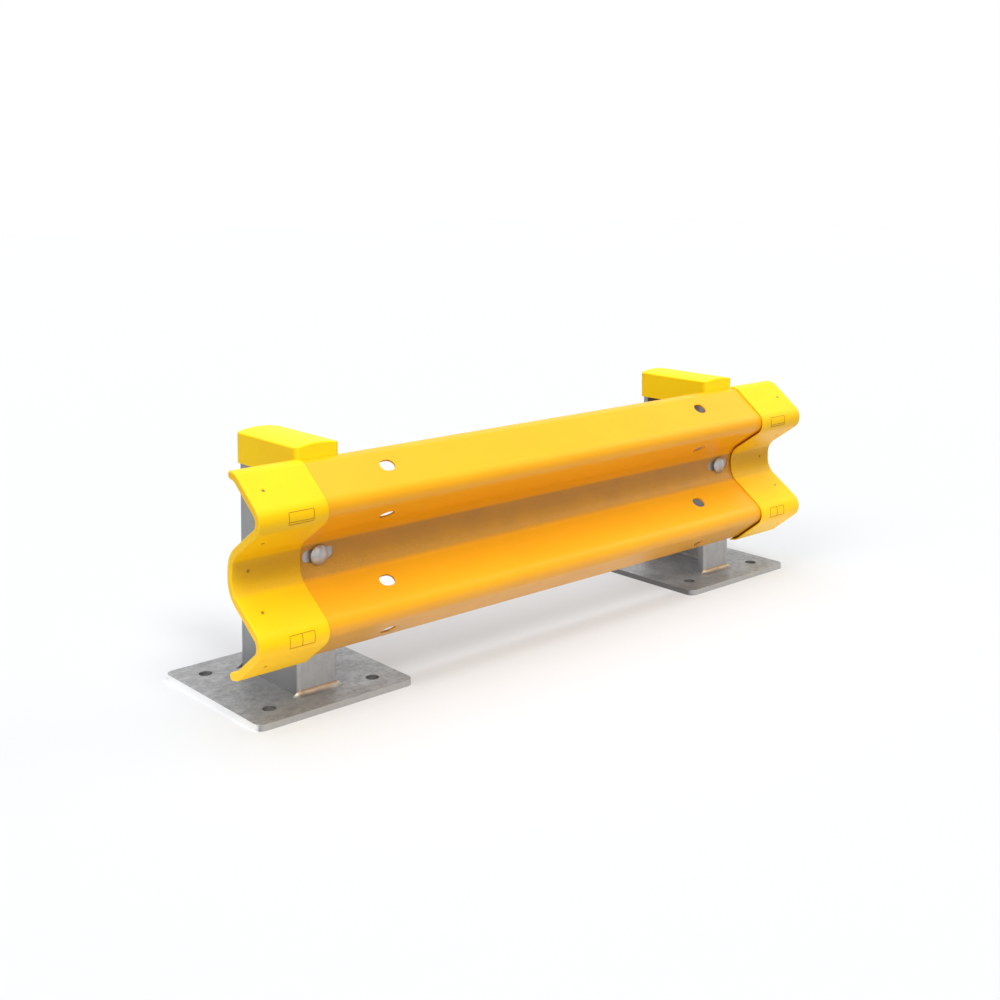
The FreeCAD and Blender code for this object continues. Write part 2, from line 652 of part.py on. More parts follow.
def build_cap(label, side):
    """Moulded cap with an arched roof; at the front its skirt hangs behind the beam's lip."""
    item = body(label)
    half = "(post_width / 2 + cap_grow)"
    x, low, high = value_of(half), size("cap_bottom"), size("cap_top")
    sketch = sketch_on(item, "XZ_Plane", label + "_profile", "cap_grow")
    base = sketch.addGeometry(Part.LineSegment(V(-x, low, 0), V(x, low, 0)), False)
    right = sketch.addGeometry(Part.LineSegment(V(x, low, 0), V(x, high, 0)), False)
    arch = sketch.addGeometry(Part.Arc(V(x, high, 0), V(0, high + size("cap_arch"), 0), V(-x, high, 0)), False)
    left = sketch.addGeometry(Part.LineSegment(V(-x, high, 0), V(-x, low, 0)), False)
    right_end, left_end = (1, 2) if sketch.getPoint(arch, 1).x > 0 else (2, 1)
    sketch.addConstraint(Sketcher.Constraint("Coincident", base, 2, right, 1))
    sketch.addConstraint(Sketcher.Constraint("Coincident", right, 2, arch, right_end))
    sketch.addConstraint(Sketcher.Constraint("Coincident", arch, left_end, left, 1))
    sketch.addConstraint(Sketcher.Constraint("Coincident", left, 2, base, 1))
    pin(sketch, base, 1, "-" + half, "cap_bottom")
    pin(sketch, right, 1, half, "cap_bottom")
    pin(sketch, right, 2, half, "cap_top")
    pin(sketch, left, 1, "-" + half, "cap_top")
    radius = "(%s * %s + cap_arch * cap_arch) / (2 * cap_arch)" % (half, half)
    bind(sketch, Sketcher.Constraint("Radius", arch, value_of(radius)), radius)
    DOC.recompute()
    pad(item, sketch, label + "_blank", "post_depth + 2 * cap_grow", backward=True)
    rounded(item, label + "_corners", upright, "post_bend + cap_clearance")
    rounded(item, label + "_roof_edge", lambda edge: edge.CenterOfMass.z > high - 1e-3, "cap_wall - 0.5")
    gap = "cap_clearance"
    hollow = sketch_on(item, "XY_Plane", label + "_hollow", "cap_bottom")
    box_outline(hollow, "-(post_width / 2 + %s)" % gap, "post_width / 2 + " + gap, "-" + gap, "post_depth + " + gap)
    DOC.recompute()
    pocket(item, hollow, label + "_hollow_cut", "post_top - cap_bottom", backward=True)
    inner = size("post_width") / 2 + size("cap_clearance")
    ends = (-size("cap_clearance"), size("post_depth") + size("cap_clearance"))
    rounded(item, label + "_inner_corners", lambda edge: any(
        upright(edge, a, b) for a in (-inner, inner) for b in ends), "post_bend + cap_clearance")
    place(item, "post_x * %d" % side)
    return item


def stations():
    """Five fixing points of a cover: name, point at a lift, lean of the surface, its rise."""
    inner, outer = "screw_inner_run", "screw_outer_run"
    drop_inner, drop_outer = "cover_drop * sin(inner_angle)", "cover_drop * sin(outer_angle)"

    def upper(finder, run):
        """Point finder on the upper half of the section."""
        return lambda lift: finder(run, lift)

    def lower(finder, run):
        """Point finder on the lower half of the section."""
        return lambda lift: (finder(run, lift)[0], "-(%s)" % finder(run, lift)[1])

    return [
        ("outer_top", upper(outer_point, outer), "-outer_angle", "cover_front - " + drop_outer),
        ("inner_top", upper(inner_point, inner), "inner_angle", "cover_front + " + drop_inner),
        ("middle", lambda lift: ("-(%s)" % lift, "0"), "0", "cover_front"),
        ("inner_low", lower(inner_point, inner), "-inner_angle", "cover_front - " + drop_inner),
        ("outer_low", lower(outer_point, outer), "outer_angle", "cover_front + " + drop_outer),
    ]


def build_cover(label, side):
    """Moulded sleeve that slips over the end of the beam and hangs on its upward faces."""
    item = body(label)
    inner_x = "cover_inner_x * %d" % side
    outward = side > 0
    outer = sketch_on(item, "YZ_Plane", label + "_outer", inner_x)
    w_half(outer, "-cover_back", "cover_front", "cover_back", True)
    DOC.recompute()
    block = pad(item, outer, label + "_block", "cover_length", backward=not outward)
    slot = sketch_on(item, "YZ_Plane", label + "_slot", inner_x)
    w_half(slot, "-cover_play", "beam_sheet + cover_play", "cover_play", False)
    DOC.recompute()
    slot_cut = pocket(item, slot, label + "_slot_cut", "cover_length - cover_end_wall", backward=outward)
    relief = sketch_on(item, "YZ_Plane", label + "_relief", inner_x)
    w_half(relief, "-(cover_back + 2)", "beam_sheet + cover_play", "cover_back + 2", False)
    DOC.recompute()
    relief_cut = pocket(item, relief, label + "_relief_cut", "cover_relief", backward=outward)
    mirrored(item, label + "_whole", [block, slot_cut, relief_cut], "XY_Plane")
    trim = sketch_on(item, "YZ_Plane", label + "_trim", inner_x)
    box_outline(trim, "-lip_clearance - 0.2", "post_depth", "-2 * beam_half_height", "2 * beam_half_height")
    DOC.recompute()
    pocket(item, trim, label + "_trim_cut", "cover_relief", backward=outward)
    for name, point, lean, rise in stations():
        spots = ((rise, "screw_head + 0.4", "2 * (screw_sink + screw_head_height)", "bore"),
                 ("cover_front", "screw_size + 0.4", "3 * cover_front", "hole"))
        for lift, across, depth, word in spots:
            if word == "hole":
                lift = "beam_sheet + cover_play + cover_skin"
                depth = "2 * (cover_skin + cover_drop + 1)"
            y, z = point(lift)
            sketch = sketch_on(item, "XZ_Plane", "%s_%s_%s" % (label, name, word))
            tilt(sketch, "0", "(%s) + cover_drop" % z, "-(%s)" % y, lean)
            circle(sketch, "screw_x * %d" % side, "0", across)
            DOC.recompute()
            pocket(item, sketch, "%s_%s_%s_cut" % (label, name, word), depth, both=True)
    near = abs(value_of(inner_x))
    far = near + size("cover_length")
    rounded(item, label + "_end_round", lambda edge: edge.BoundBox.XLength < 1e-4
            and abs(abs(edge.CenterOfMass.x) - far) < 1e-3, "cover_skin - 0.6")
    solid = item.Tip.Shape

    def faces_traffic(edge):
        """True for an edge of the open end that bounds the outer surface."""
        if edge.BoundBox.XLength > 1e-4 or abs(abs(edge.CenterOfMass.x) - near) > 1e-3:
            return False
        middle = edge.valueAt((edge.FirstParameter + edge.LastParameter) / 2) + V(side * 0.5, 0, 0)
        behind, ahead = middle + V(0, 0.4, 0), middle - V(0, 0.4, 0)
        return solid.isInside(behind, 1e-4, True) and not solid.isInside(ahead, 1e-4, True)

    rounded(item, label + "_edge_round", faces_traffic, "cover_skin / 3")
    place(item, z="beam_height - cover_drop")
    return item


def spot(item, x, y, z, lean, shift="0"):
    """Hold a primitive at a point of the section, its axis along the outward normal."""
    item.Placement = FreeCAD.Placement(V(0, 0, 0), FreeCAD.Rotation(V(1, 0, 0), 90.0))
    item.setExpression("Placement.Base.x", linked(x))
    item.setExpression("Placement.Base.y", linked("(%s) - (%s) * cos(%s) - middle_y" % (y, shift, lean)))
    item.setExpression("Placement.Base.z", linked("beam_height + (%s) - (%s) * sin(%s)" % (z, shift, lean)))
    item.setExpression("Placement.Rotation.Angle", linked("90 + (%s)" % lean))


def build_cover_screws(label, side):
    """Five small socket screws of one cover, as separate solids."""
    screws = []
    for name, point, lean, rise in stations():
        top = "(%s) - screw_sink" % rise
        y, z = point(top)
        start = "%s_%s" % (label, name)
        head = DOC.addObject("Part::Cylinder", start + "_head")
        head.setExpression("Radius", linked("screw_head / 2"))
        head.setExpression("Height", linked("screw_head_height"))
        spot(head, "screw_x * %d" % side, y, z, lean, "-screw_head_height")
        shank = DOC.addObject("Part::Cylinder", start + "_shank")
        shank.setExpression("Radius", linked("screw_size / 2"))
        shank.setExpression("Height", linked("(%s) + screw_past" % top))
        spot(shank, "screw_x * %d" % side, y, z, lean, "-((%s) + screw_past)" % top)
        recess = DOC.addObject("Part::Prism", start + "_recess")
        recess.Polygon = 6
        recess.setExpression("Circumradius", linked("screw_recess / 2"))
        recess.setExpression("Height", linked("screw_head_height"))
        spot(recess, "screw_x * %d" % side, y, z, lean, "-screw_head_height * 0.7")
        solid = DOC.addObject("Part::Fuse", start + "_solid")
        solid.Base, solid.Tool = head, shank
        screw = DOC.addObject("Part::Cut", start)
        screw.Base, screw.Tool = solid, recess
        screws.append(screw)
    group = DOC.addObject("Part::Compound", label)
    group.Label = label
    group.Links = screws
    DOC.recompute()
    return group


def build_bolt(label, side):
    """Domed bolt that holds the beam to the post through its slot."""
    item = body(label)
    sketch = sketch_on(item, "YZ_Plane", label + "_profile")
    seat, tall, rim = "head_seat_y", "head_height", "head_rim"
    wide, thin, end = "head_diameter / 2", "bolt_size / 2", "bolt_end_y"
    s, crown = value_of(seat), value_of("head_seat_y - head_height")
    edge, radius, shank, tail = value_of("head_seat_y - head_rim"), value_of(wide), value_of(thin), size(end)
    rise = value_of("head_height - head_rim")
    sphere = (radius * radius + rise * rise) / (2 * rise)
    middle = V(crown + sphere * (1 - math.cos(math.asin(radius / sphere) / 2)),
               sphere * math.sin(math.asin(radius / sphere) / 2), 0)
    dome = sketch.addGeometry(Part.Arc(V(crown, 0, 0), middle, V(edge, radius, 0)), False)
    points = [V(edge, radius, 0), V(s, radius, 0), V(s, shank, 0), V(tail, shank, 0), V(tail, 0, 0), V(crown, 0, 0)]
    texts = [("%s - %s" % (seat, rim), wide), (seat, wide), (seat, thin), (end, thin), (end, "0"),
             ("%s - %s" % (seat, tall), "0")]
    lines = [sketch.addGeometry(Part.LineSegment(points[i], points[i + 1]), False) for i in range(5)]
    for index in range(4):
        sketch.addConstraint(Sketcher.Constraint("Coincident", lines[index], 2, lines[index + 1], 1))
    rim_end, crown_end = (1, 2) if sketch.getPoint(dome, 1).y > 1e-6 else (2, 1)
    sketch.addConstraint(Sketcher.Constraint("Coincident", lines[0], 1, dome, rim_end))
    sketch.addConstraint(Sketcher.Constraint("Coincident", lines[4], 2, dome, crown_end))
    for index in range(5):
        pin(sketch, lines[index], 1, texts[index][0], texts[index][1])
    pin(sketch, lines[4], 2, texts[5][0], "0")
    sketch.addConstraint(Sketcher.Constraint("PointOnObject", dome, 3, -1))
    DOC.recompute()
    turned = item.newObject("PartDesign::Revolution", label + "_turned")
    turned.Profile = sketch
    turned.ReferenceAxis = (sketch, ["H_Axis"])
    turned.Angle = 360.0
    sketch.Visibility = False
    item.Tip = turned
    DOC.recompute()
    place(item, "post_x * %d" % side, z="beam_height")
    return item


def build_washer(label, side):
    """Round washer behind the front flange."""
    item = body(label)
    sketch = sketch_on(item, "XZ_Plane", label + "_ring", "-washer_front_y")
    circle(sketch, "0", "0", "washer_outer")
    circle(sketch, "0", "0", "bolt_size + 1")
    DOC.recompute()
    pad(item, sketch, label + "_disc", "washer_thickness", backward=True)
    place(item, "post_x * %d" % side, z="beam_height")
    return item


def build_nut(label, side):
    """Hexagon nut on the bolt."""
    item = body(label)
    sketch = sketch_on(item, "XZ_Plane", label + "_hexagon", "-nut_front_y")
    long, short = "nut_across / sqrt(3)", "nut_across / (2 * sqrt(3))"
    side_x = "nut_across / 2"
    polygon(sketch, [("0", long), ("-" + side_x, short), ("-" + side_x, "-" + short),
                     ("0", "-" + long), (side_x, "-" + short), (side_x, short)])
    circle(sketch, "0", "0", "bolt_size + 2 * seat_gap")
    DOC.recompute()
    pad(item, sketch, label + "_blank", "nut_height", backward=True)
    place(item, "post_x * %d" % side, z="beam_height")
    return item


NODES = [build_beam()]
for word, side in (("left", -1), ("right", 1)):
    NODES.append(build_post("post_" + word, side))
    NODES.append(build_plate("base_plate_" + word, side))
    front_rear = ((False, "weld_front_"), (True, "weld_rear_"))
    for rear, start in front_rear:
        NODES.append(build_flange_weld(start + word, side, rear if side < 0 else not rear))
    NODES.append(build_web_weld("weld_web_" + word, side))
    NODES.append(build_cap("post_cap_" + word, side))
    NODES.append(build_cover("end_cover_" + word, side))
    NODES.append(build_cover_screws("cover_screws_" + word, side))
    NODES.append(build_bolt("rail_bolt_" + word, side))
    NODES.append(build_washer("rail_washer_" + word, side))
    NODES.append(build_nut("rail_nut_" + word, side))

DOC.recompute()
for item in DOC.Objects:
    if "Invalid" in item.State or "Error" in item.State:
        raise RuntimeError("%s did not build: %s" % (item.Label, item.State))
for node in NODES:
    shape = node.Shape
    if shape.isNull() or not shape.isValid():
        raise RuntimeError("%s has no valid shape" % node.Label)
    shape.exportStep("parts/%s.step" % node.Label)
    print("%-22s solids %d  volume %.1f cm3" % (node.Label, len(shape.Solids), shape.Volume / 1000.0))
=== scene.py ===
"""Industrial guard rail: finishes, small raised forms and setting.

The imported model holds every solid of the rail. This script keeps those
shapes, gives each one its finish, adds the fine forms that the solids leave
out, and stands the rail on a pale floor in soft light.

Lengths are in metres. +Z is up, the rail runs along X and faces -Y.
"""

import logging
import math
from dataclasses import dataclass, field
from enum import Enum

import bpy
from mathutils import Matrix, Vector

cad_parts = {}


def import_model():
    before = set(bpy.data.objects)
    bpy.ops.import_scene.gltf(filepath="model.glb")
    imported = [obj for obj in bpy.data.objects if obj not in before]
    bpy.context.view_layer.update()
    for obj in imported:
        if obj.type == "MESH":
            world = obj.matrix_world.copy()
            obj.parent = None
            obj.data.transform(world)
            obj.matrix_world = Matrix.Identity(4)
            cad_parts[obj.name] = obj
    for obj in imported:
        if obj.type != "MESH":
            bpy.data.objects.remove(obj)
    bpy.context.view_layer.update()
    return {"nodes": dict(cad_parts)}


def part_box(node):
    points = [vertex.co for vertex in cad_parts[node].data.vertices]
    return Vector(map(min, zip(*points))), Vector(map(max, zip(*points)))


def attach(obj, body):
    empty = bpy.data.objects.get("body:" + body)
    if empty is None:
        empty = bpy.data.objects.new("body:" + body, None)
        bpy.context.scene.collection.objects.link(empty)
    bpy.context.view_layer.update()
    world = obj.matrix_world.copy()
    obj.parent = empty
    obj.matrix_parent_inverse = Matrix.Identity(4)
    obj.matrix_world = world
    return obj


LOG = logging.getLogger("guard_rail")

MILLIMETRE = 0.001

Socket = bpy.types.NodeSocket
Sockets = bpy.types.bpy_prop_collection
NodeTree = bpy.types.NodeTree
Material = bpy.types.Material
Colour = tuple[float, float, float, float]
Range = tuple[float, float]
Feed = Socket | float | tuple

WHITE: Colour = (1.0, 1.0, 1.0, 1.0)

# Ranges that values are fitted from: all of 0 to 1, the middle that a noise
# keeps to, and how much of a normal lies along an axis.
UNIT: Range = (0.0, 1.0)
MIDDLING: Range = (0.3, 0.7)
SQUARE_ON: Range = (0.75, 0.97)
STEEP: Range = (0.6, 0.3)


class Side(Enum):
    """The two ends of the rail, each with its own post, cap and sleeve."""

    LEFT = "left"
    RIGHT = "right"

    @property
    def sign(self) -> float:
        """-1 for the end at -X and +1 for the end at +X."""
        return -1.0 if self is Side.LEFT else 1.0


class Slot(Enum):
    """Material slot names for the grown pieces; no piece is given one here."""

    SLEEVE = "sleeve_plastic"
    BOLT = "bolt_steel"


def screen(red: int, green: int, blue: int) -> Colour:
    """Turn an eight-bit screen colour into the linear colour a shader takes.

    Args:
        red: Red from 0 to 255.
        green: Green from 0 to 255.
        blue: Blue from 0 to 255.

    Returns:
        The linear colour with full alpha.
    """
    shares = [value / 255 for value in (red, green, blue)]
    linear = [s / 12.92 if s <= 0.04045 else ((s + 0.055) / 1.055) ** 2.4 for s in shares]
    return (linear[0], linear[1], linear[2], 1.0)


class Sheet:
    """A node tree with short ways to add nodes and feed their sockets."""

    def __init__(self, tree: NodeTree) -> None:
        """Take the tree over and empty it."""
        self.tree = tree
        self.tree.nodes.clear()

    def add(self, kind: str, **settings: object) -> bpy.types.Node:
        """Add a node and set its properties.

        Args:
            kind: Blender's name of the node type.
            **settings: Properties of the node by name.

        Returns:
            The new node.
        """
        node = self.tree.nodes.new(kind)
        for name, value in settings.items():
            setattr(node, name, value)
        return node

    def feed(self, socket: Socket, value: Feed) -> None:
        """Link a socket to another one, or set the value that it holds.

        Args:
            socket: The socket to feed.
            value: The other socket, or the value.
        """
        if isinstance(value, Socket):
            self.tree.links.new(value, socket)
        else:
            socket.default_value = value

    def math(self, operation: str, first: Feed, second: Feed = 0.0) -> Socket:
        """Work out one step of arithmetic on two values.

        Args:
            operation: The Math node's operation.
            first: The first value.
            second: The second value.

        Returns:
            The result's socket.
        """
        node = self.add("ShaderNodeMath", operation=operation)
        self.feed(node.inputs[0], first)
        self.feed(node.inputs[1], second)
        return node.outputs[0]

    def times(self, first: Feed, second: Feed) -> Socket:
        """Return the product of two values."""
        return self.math("MULTIPLY", first, second)

    def plus(self, first: Feed, second: Feed) -> Socket:
        """Return the sum of two values."""
        return self.math("ADD", first, second)

    def minus(self, first: Feed, second: Feed) -> Socket:
        """Return the first value less the second."""
        return self.math("SUBTRACT", first, second)

    def size(self, value: Feed) -> Socket:
        """Return a value without its sign."""
        return self.math("ABSOLUTE", value)

    def scale(self, size: Feed) -> Socket:
        """Return the cells per metre when one cell is so many millimetres wide."""
        return self.math("DIVIDE", 1.0 / MILLIMETRE, size)

    def place(self) -> Socket:
        """Return the place on the object, in its own coordinates."""
        return self.add("ShaderNodeTexCoord").outputs["Object"]

    def normal(self) -> Socket:
        """Return the direction that the face looks in."""
        return self.add("ShaderNodeNewGeometry").outputs["Normal"]

    def axes(self, whole: Feed) -> Sockets:
        """Split a vector and return its X, Y and Z by name."""
        return self.fill(self.add("ShaderNodeSeparateXYZ"), Vector=whole).outputs

    def vector(self, operation: str, first: Feed, second: Feed) -> Sockets:
        """Add a Vector Math node.

        Args:
            operation: The node's operation.
            first: The first vector.
            second: The second vector.

        Returns:
            The node's outputs, because the result is on one of two.
        """
        node = self.add("ShaderNodeVectorMath", operation=operation)
        self.feed(node.inputs[0], first)
        self.feed(node.inputs[1], second)
        return node.outputs

    def fit(self, value: Feed, source: Range, target: Range = UNIT) -> Socket:
        """Stretch a value from one range to another and clamp it there.

        Args:
            value: The value to stretch.
            source: The range that it comes from.
            target: The range that it goes to.

        Returns:
            The result's socket.
        """
        node = self.add("ShaderNodeMapRange", clamp=True)
        for index, number in enumerate((*source, *target), start=1):
            self.feed(node.inputs[index], number)
        self.feed(node.inputs[0], value)
        return node.outputs[0]

    def blend(self, share: Feed, first: Feed, second: Feed) -> Socket:
        """Mix two colours.

        Args:
            share: How much of the second colour shows, from 0 to 1.
            first: The colour at 0.
            second: The colour at 1.

        Returns:
            The mixed colour's socket.
        """
        node = self.add("ShaderNodeMix", data_type="RGBA", clamp_factor=True)
        self.feed(node.inputs[0], share)
        self.feed(node.inputs[6], first)
        self.feed(node.inputs[7], second)
        return node.outputs[2]

    def layers(self, base: Feed, *coats: tuple[Feed, float, Feed]) -> Feed:
        """Lay colours over one another.

        Args:
            base: The colour underneath.
            *coats: Each coat's mask, how much of it shows and its colour.

        Returns:
            The finished colour.
        """
        tone = base
        for mask, share, colour in coats:
            tone = self.blend(self.times(mask, share), tone, colour)
        return tone

    def noise(self, place: Feed, scale: Feed, detail: float, rough: float) -> Sockets:
        """Add a three-dimensional noise.

        Args:
            place: The coordinates that it is read at.
            scale: Cells per metre.
            detail: Octaves.
            rough: How much each octave keeps of the one before.

        Returns:
            The noise's outputs by name.
        """
        node = self.add("ShaderNodeTexNoise", noise_dimensions="3D")
        return self.fill(node, Vector=place, Scale=scale, Detail=detail, Roughness=rough).outputs

    def fill(self, node: bpy.types.Node, **values: Feed) -> bpy.types.Node:
        """Feed several inputs of a node.

        Args:
            node: The node.
            **values: What goes into its inputs, by name with _ for a space.

        Returns:
            The same node.
        """
        for name, value in values.items():
            self.feed(node.inputs[name.replace("_", " ")], value)
        return node

    def group(self, tree: NodeTree, **values: Feed) -> Sockets:
        """Place a shared effect, give it its values and return its results by name."""
        return self.fill(self.add("ShaderNodeGroup", node_tree=tree), **values).outputs


def open_group(
    name: str, inputs: dict[str, float], outputs: dict[str, str]
) -> tuple[Sheet, Sockets, Sockets]:
    """Start a shader node group with named sockets.

    Args:
        name: The group's name.
        inputs: Each number that the group takes, with its usual value.
        outputs: Each result with its kind: Float, Color or Vector.

    Returns:
        The sheet to build on, what the group is given and what it makes, by name.
    """
    tree = bpy.data.node_groups.new(name, "ShaderNodeTree")
    for label, usual in inputs.items():
        socket = tree.interface.new_socket(label, in_out="INPUT", socket_type="NodeSocketFloat")
        socket.default_value = usual
    for label, kind in outputs.items():
        tree.interface.new_socket(label, in_out="OUTPUT", socket_type=f"NodeSocket{kind}")
    sheet = Sheet(tree)
    return sheet, sheet.add("NodeGroupInput").outputs, sheet.add("NodeGroupOutput").inputs


@dataclass(frozen=True)
class PaintedShadeZone:
    """Where painted shade lies on the rail and sleeves, as heights over the rail's middle.

    The band ends at top and bottom, with edges so wide, and trails off below.
    On the foot the painted shade starts at one height and is full at a lower one.
    """

    middle: float
    top: float = 19.0 * MILLIMETRE
    bottom: float = -34.0 * MILLIMETRE
    top_edge: float = 5.0 * MILLIMETRE
    bottom_edge: float = 8.0 * MILLIMETRE
    trail_end: float = -80.0 * MILLIMETRE
    foot_start: float = -79.0 * MILLIMETRE
    foot_full: float = -113.0 * MILLIMETRE


class Effects:
    """The surface effects that several finishes share, each built once.

    A range named for what shows is the stretch of a noise, or of a face's
    turn, over which the effect goes from hidden to full.
    """

    FLECKS_SHOW: Range = (0.52, 0.72)
    DRIFT_SHOWS: Range = (0.36, 0.64)
    RUNS_SHOW: Range = (0.32, 0.68)
    CLOUDS_SHOW: Range = (0.34, 0.66)
    EDGE_SHOWS: Range = (0.985, 0.86)
    BREAKS_SHOW: Range = (0.42, 0.60)
    DUST_SHOWS: Range = (0.40, 0.66)
    FACES_UP: Range = (0.45, 0.95)
    SCUFFS_SHOW: Range = (0.60, 0.70)
    SCUFFED_PLACES: Range = (0.50, 0.68)
    ENDS_OFF: Range = (0.7, 0.3)

    def __init__(self, zone: PaintedShadeZone) -> None:
        """Build every group.

        Args:
            zone: Where the painted shade lies.
        """
        self.grain = self._grain()
        self.drift = self._drift()
        self.spangle = self._spangle()
        self.rub = self._rub()
        self.dust = self._dust()
        self.scuff = self._scuff()
        self.painted_shade = self._painted_shade(zone)

    def _grain(self) -> NodeTree:
        """Return fine grain: flecks as a mask and a height for a bump."""
        sheet, given, made = open_group("Fine grain", {"Size": 1.0}, {"Mask": "Float", "Height": "Float"})
        scale = sheet.scale(given["Size"])
        fine = sheet.noise(sheet.place(), scale, detail=2.0, rough=0.6)["Fac"]
        sheet.feed(made["Mask"], sheet.fit(fine, self.FLECKS_SHOW))
        sheet.feed(made["Height"], fine)
        return sheet.tree

    def _drift(self) -> NodeTree:
        """Return slow drift of tone over a large face."""
        sheet, given, made = open_group("Slow drift", {"Size": 80.0, "Shift": 0.0}, {"Mask": "Float"})
        moved = sheet.vector("ADD", sheet.place(), given["Shift"])[0]
        scale = sheet.scale(given["Size"])
        cloud = sheet.noise(moved, scale, detail=4.0, rough=0.55)["Fac"]
        sheet.feed(made["Mask"], sheet.fit(cloud, self.DRIFT_SHOWS))
        return sheet.tree

    def _spangle(self) -> NodeTree:
        """Return the patches and runs of zinc that steel is dipped in."""
        sheet, given, made = open_group(
            "Zinc spangle",
            {"Size": 14.0, "Run X": 1.0, "Run Y": 1.0, "Run Z": 1.0},
            {"Tone": "Float", "Height": "Float"},
        )
        ragged_scale, run_scale, cloud_scale = 1.6, 1.15, 0.35
        wander_share, cell_smoothness, cloud_height = 0.9, 0.35, 0.6
        patch_share, run_share, cloud_share = 0.34, 0.30, 0.36
        place = sheet.place()
        scale = sheet.scale(given["Size"])
        ragged = sheet.noise(place, sheet.times(scale, ragged_scale), detail=3.0, rough=0.6)
        shift = sheet.vector("SUBTRACT", ragged["Color"], (0.5, 0.5, 0.5))[0]
        wander = sheet.add("ShaderNodeVectorMath", operation="SCALE")
        sheet.feed(wander.inputs[0], shift)
        sheet.feed(wander.inputs["Scale"], sheet.math("DIVIDE", wander_share, scale))
        bent = sheet.vector("ADD", place, wander.outputs[0])[0]
        cells = sheet.add("ShaderNodeTexVoronoi", feature="SMOOTH_F1")
        sheet.fill(cells, Vector=bent, Scale=scale, Smoothness=cell_smoothness)
        patch = sheet.fill(sheet.add("ShaderNodeSeparateColor"), Color=cells.outputs["Color"])
        stretch = sheet.add("ShaderNodeCombineXYZ")
        for axis in "XYZ":
            sheet.feed(stretch.inputs[axis], given[f"Run {axis}"])
        along = sheet.vector("MULTIPLY", place, stretch.outputs[0])[0]
        runs = sheet.noise(along, sheet.times(scale, run_scale), detail=4.0, rough=0.66)["Fac"]
        cloud = sheet.noise(place, sheet.times(scale, cloud_scale), detail=5.0, rough=0.62)["Fac"]
        tone = sheet.times(patch.outputs[0], patch_share)
        tone = sheet.plus(tone, sheet.times(sheet.fit(runs, self.RUNS_SHOW), run_share))
        tone = sheet.plus(tone, sheet.times(sheet.fit(cloud, self.CLOUDS_SHOW), cloud_share))
        sheet.feed(made["Tone"], tone)
        sheet.feed(made["Height"], sheet.plus(runs, sheet.times(cloud, cloud_height)))
        return sheet.tree

    def _rub(self) -> NodeTree:
        """Return rubbed, slightly rounded edges: a mask and a normal."""
        sheet, given, made = open_group("Rubbed edge", {"Width": 1.0}, {"Mask": "Float", "Normal": "Vector"})
        worn_least = (0.15, 1.0)
        rounded = sheet.add("ShaderNodeBevel", samples=4)
        sheet.feed(rounded.inputs["Radius"], sheet.times(given["Width"], MILLIMETRE))
        likeness = sheet.vector("DOT_PRODUCT", rounded.outputs[0], sheet.normal())["Value"]
        ragged = sheet.noise(sheet.place(), scale=210.0, detail=3.0, rough=0.65)["Fac"]
        broken = sheet.fit(ragged, self.BREAKS_SHOW, worn_least)
        sheet.feed(made["Mask"], sheet.times(sheet.fit(likeness, self.EDGE_SHOWS), broken))
        sheet.feed(made["Normal"], rounded.outputs[0])
        return sheet.tree

    def _dust(self) -> NodeTree:
        """Return settled dust on faces that look up."""
        sheet, given, made = open_group("Settled dust", {"Amount": 0.5}, {"Mask": "Float"})
        upward = sheet.fit(sheet.axes(sheet.normal())["Z"], self.FACES_UP)
        ragged = sheet.noise(sheet.place(), scale=26.0, detail=5.0, rough=0.66)["Fac"]
        heap = sheet.times(upward, sheet.fit(ragged, self.DUST_SHOWS))
        sheet.feed(made["Mask"], sheet.times(heap, given["Amount"]))
        return sheet.tree

    def _scuff(self) -> NodeTree:
        """Return long faint scuffs that run with the rail."""
        sheet, given, made = open_group("Faint scuffs", {"Amount": 0.5}, {"Mask": "Float"})
        place = sheet.place()
        cells_per_metre = (6.0, 160.0, 160.0)
        drawn_out = sheet.vector("MULTIPLY", place, cells_per_metre)[0]
        lines = sheet.noise(drawn_out, scale=1.0, detail=4.0, rough=0.7)["Fac"]
        where = sheet.noise(place, scale=7.0, detail=2.0, rough=0.5)["Fac"]
        both = sheet.times(sheet.fit(lines, self.SCUFFS_SHOW), sheet.fit(where, self.SCUFFED_PLACES))
        sheet.feed(made["Mask"], sheet.times(both, given["Amount"]))
        return sheet.tree

    def _painted_shade(self, zone: PaintedShadeZone) -> NodeTree:
        """Make the painted shade of the hollow between the crests and of the rail's foot.

        Args:
            zone: Where the painted shade lies.

        Returns:
            The group's tree.
        """
        sheet, given, made = open_group(
            "Painted hollow shade", {"Amount": 0.3, "Trail": 0.34, "Foot": 0.0}, {"Mask": "Float"}
        )
        thin_cloud, thick_speck = (0.8, 1.0), (1.07, 0.80)
        place = sheet.place()
        rise = sheet.minus(sheet.axes(place)["Z"], zone.middle)
        half_top, half_bottom = zone.top_edge / 2, zone.bottom_edge / 2
        under = sheet.fit(rise, (zone.top + half_top, zone.top - half_top))
        over = sheet.fit(rise, (zone.bottom - half_bottom, zone.bottom + half_bottom))
        trail = sheet.times(sheet.fit(rise, (zone.trail_end, zone.bottom)), given["Trail"])
        # Painted shade: a band under the upper crest that trails off down the lower flank.
        band = sheet.times(under, sheet.math("MAXIMUM", over, trail))
        hollow = sheet.times(band, given["Amount"])
        foot = sheet.times(sheet.fit(rise, (zone.foot_start, zone.foot_full)), given["Foot"])
        cloud = sheet.noise(place, scale=18.0, detail=4.0, rough=0.6)["Fac"]
        specks = sheet.noise(place, scale=620.0, detail=1.0, rough=0.5)["Fac"]
        thin = sheet.fit(cloud, MIDDLING, thin_cloud)
        uneven = sheet.times(thin, sheet.fit(specks, self.BREAKS_SHOW, thick_speck))
        long_faces = sheet.fit(sheet.size(sheet.axes(sheet.normal())["X"]), self.ENDS_OFF)
        lie = sheet.times(uneven, long_faces)
        sheet.feed(made["Mask"], sheet.times(sheet.math("MAXIMUM", hollow, foot), lie))
        return sheet.tree


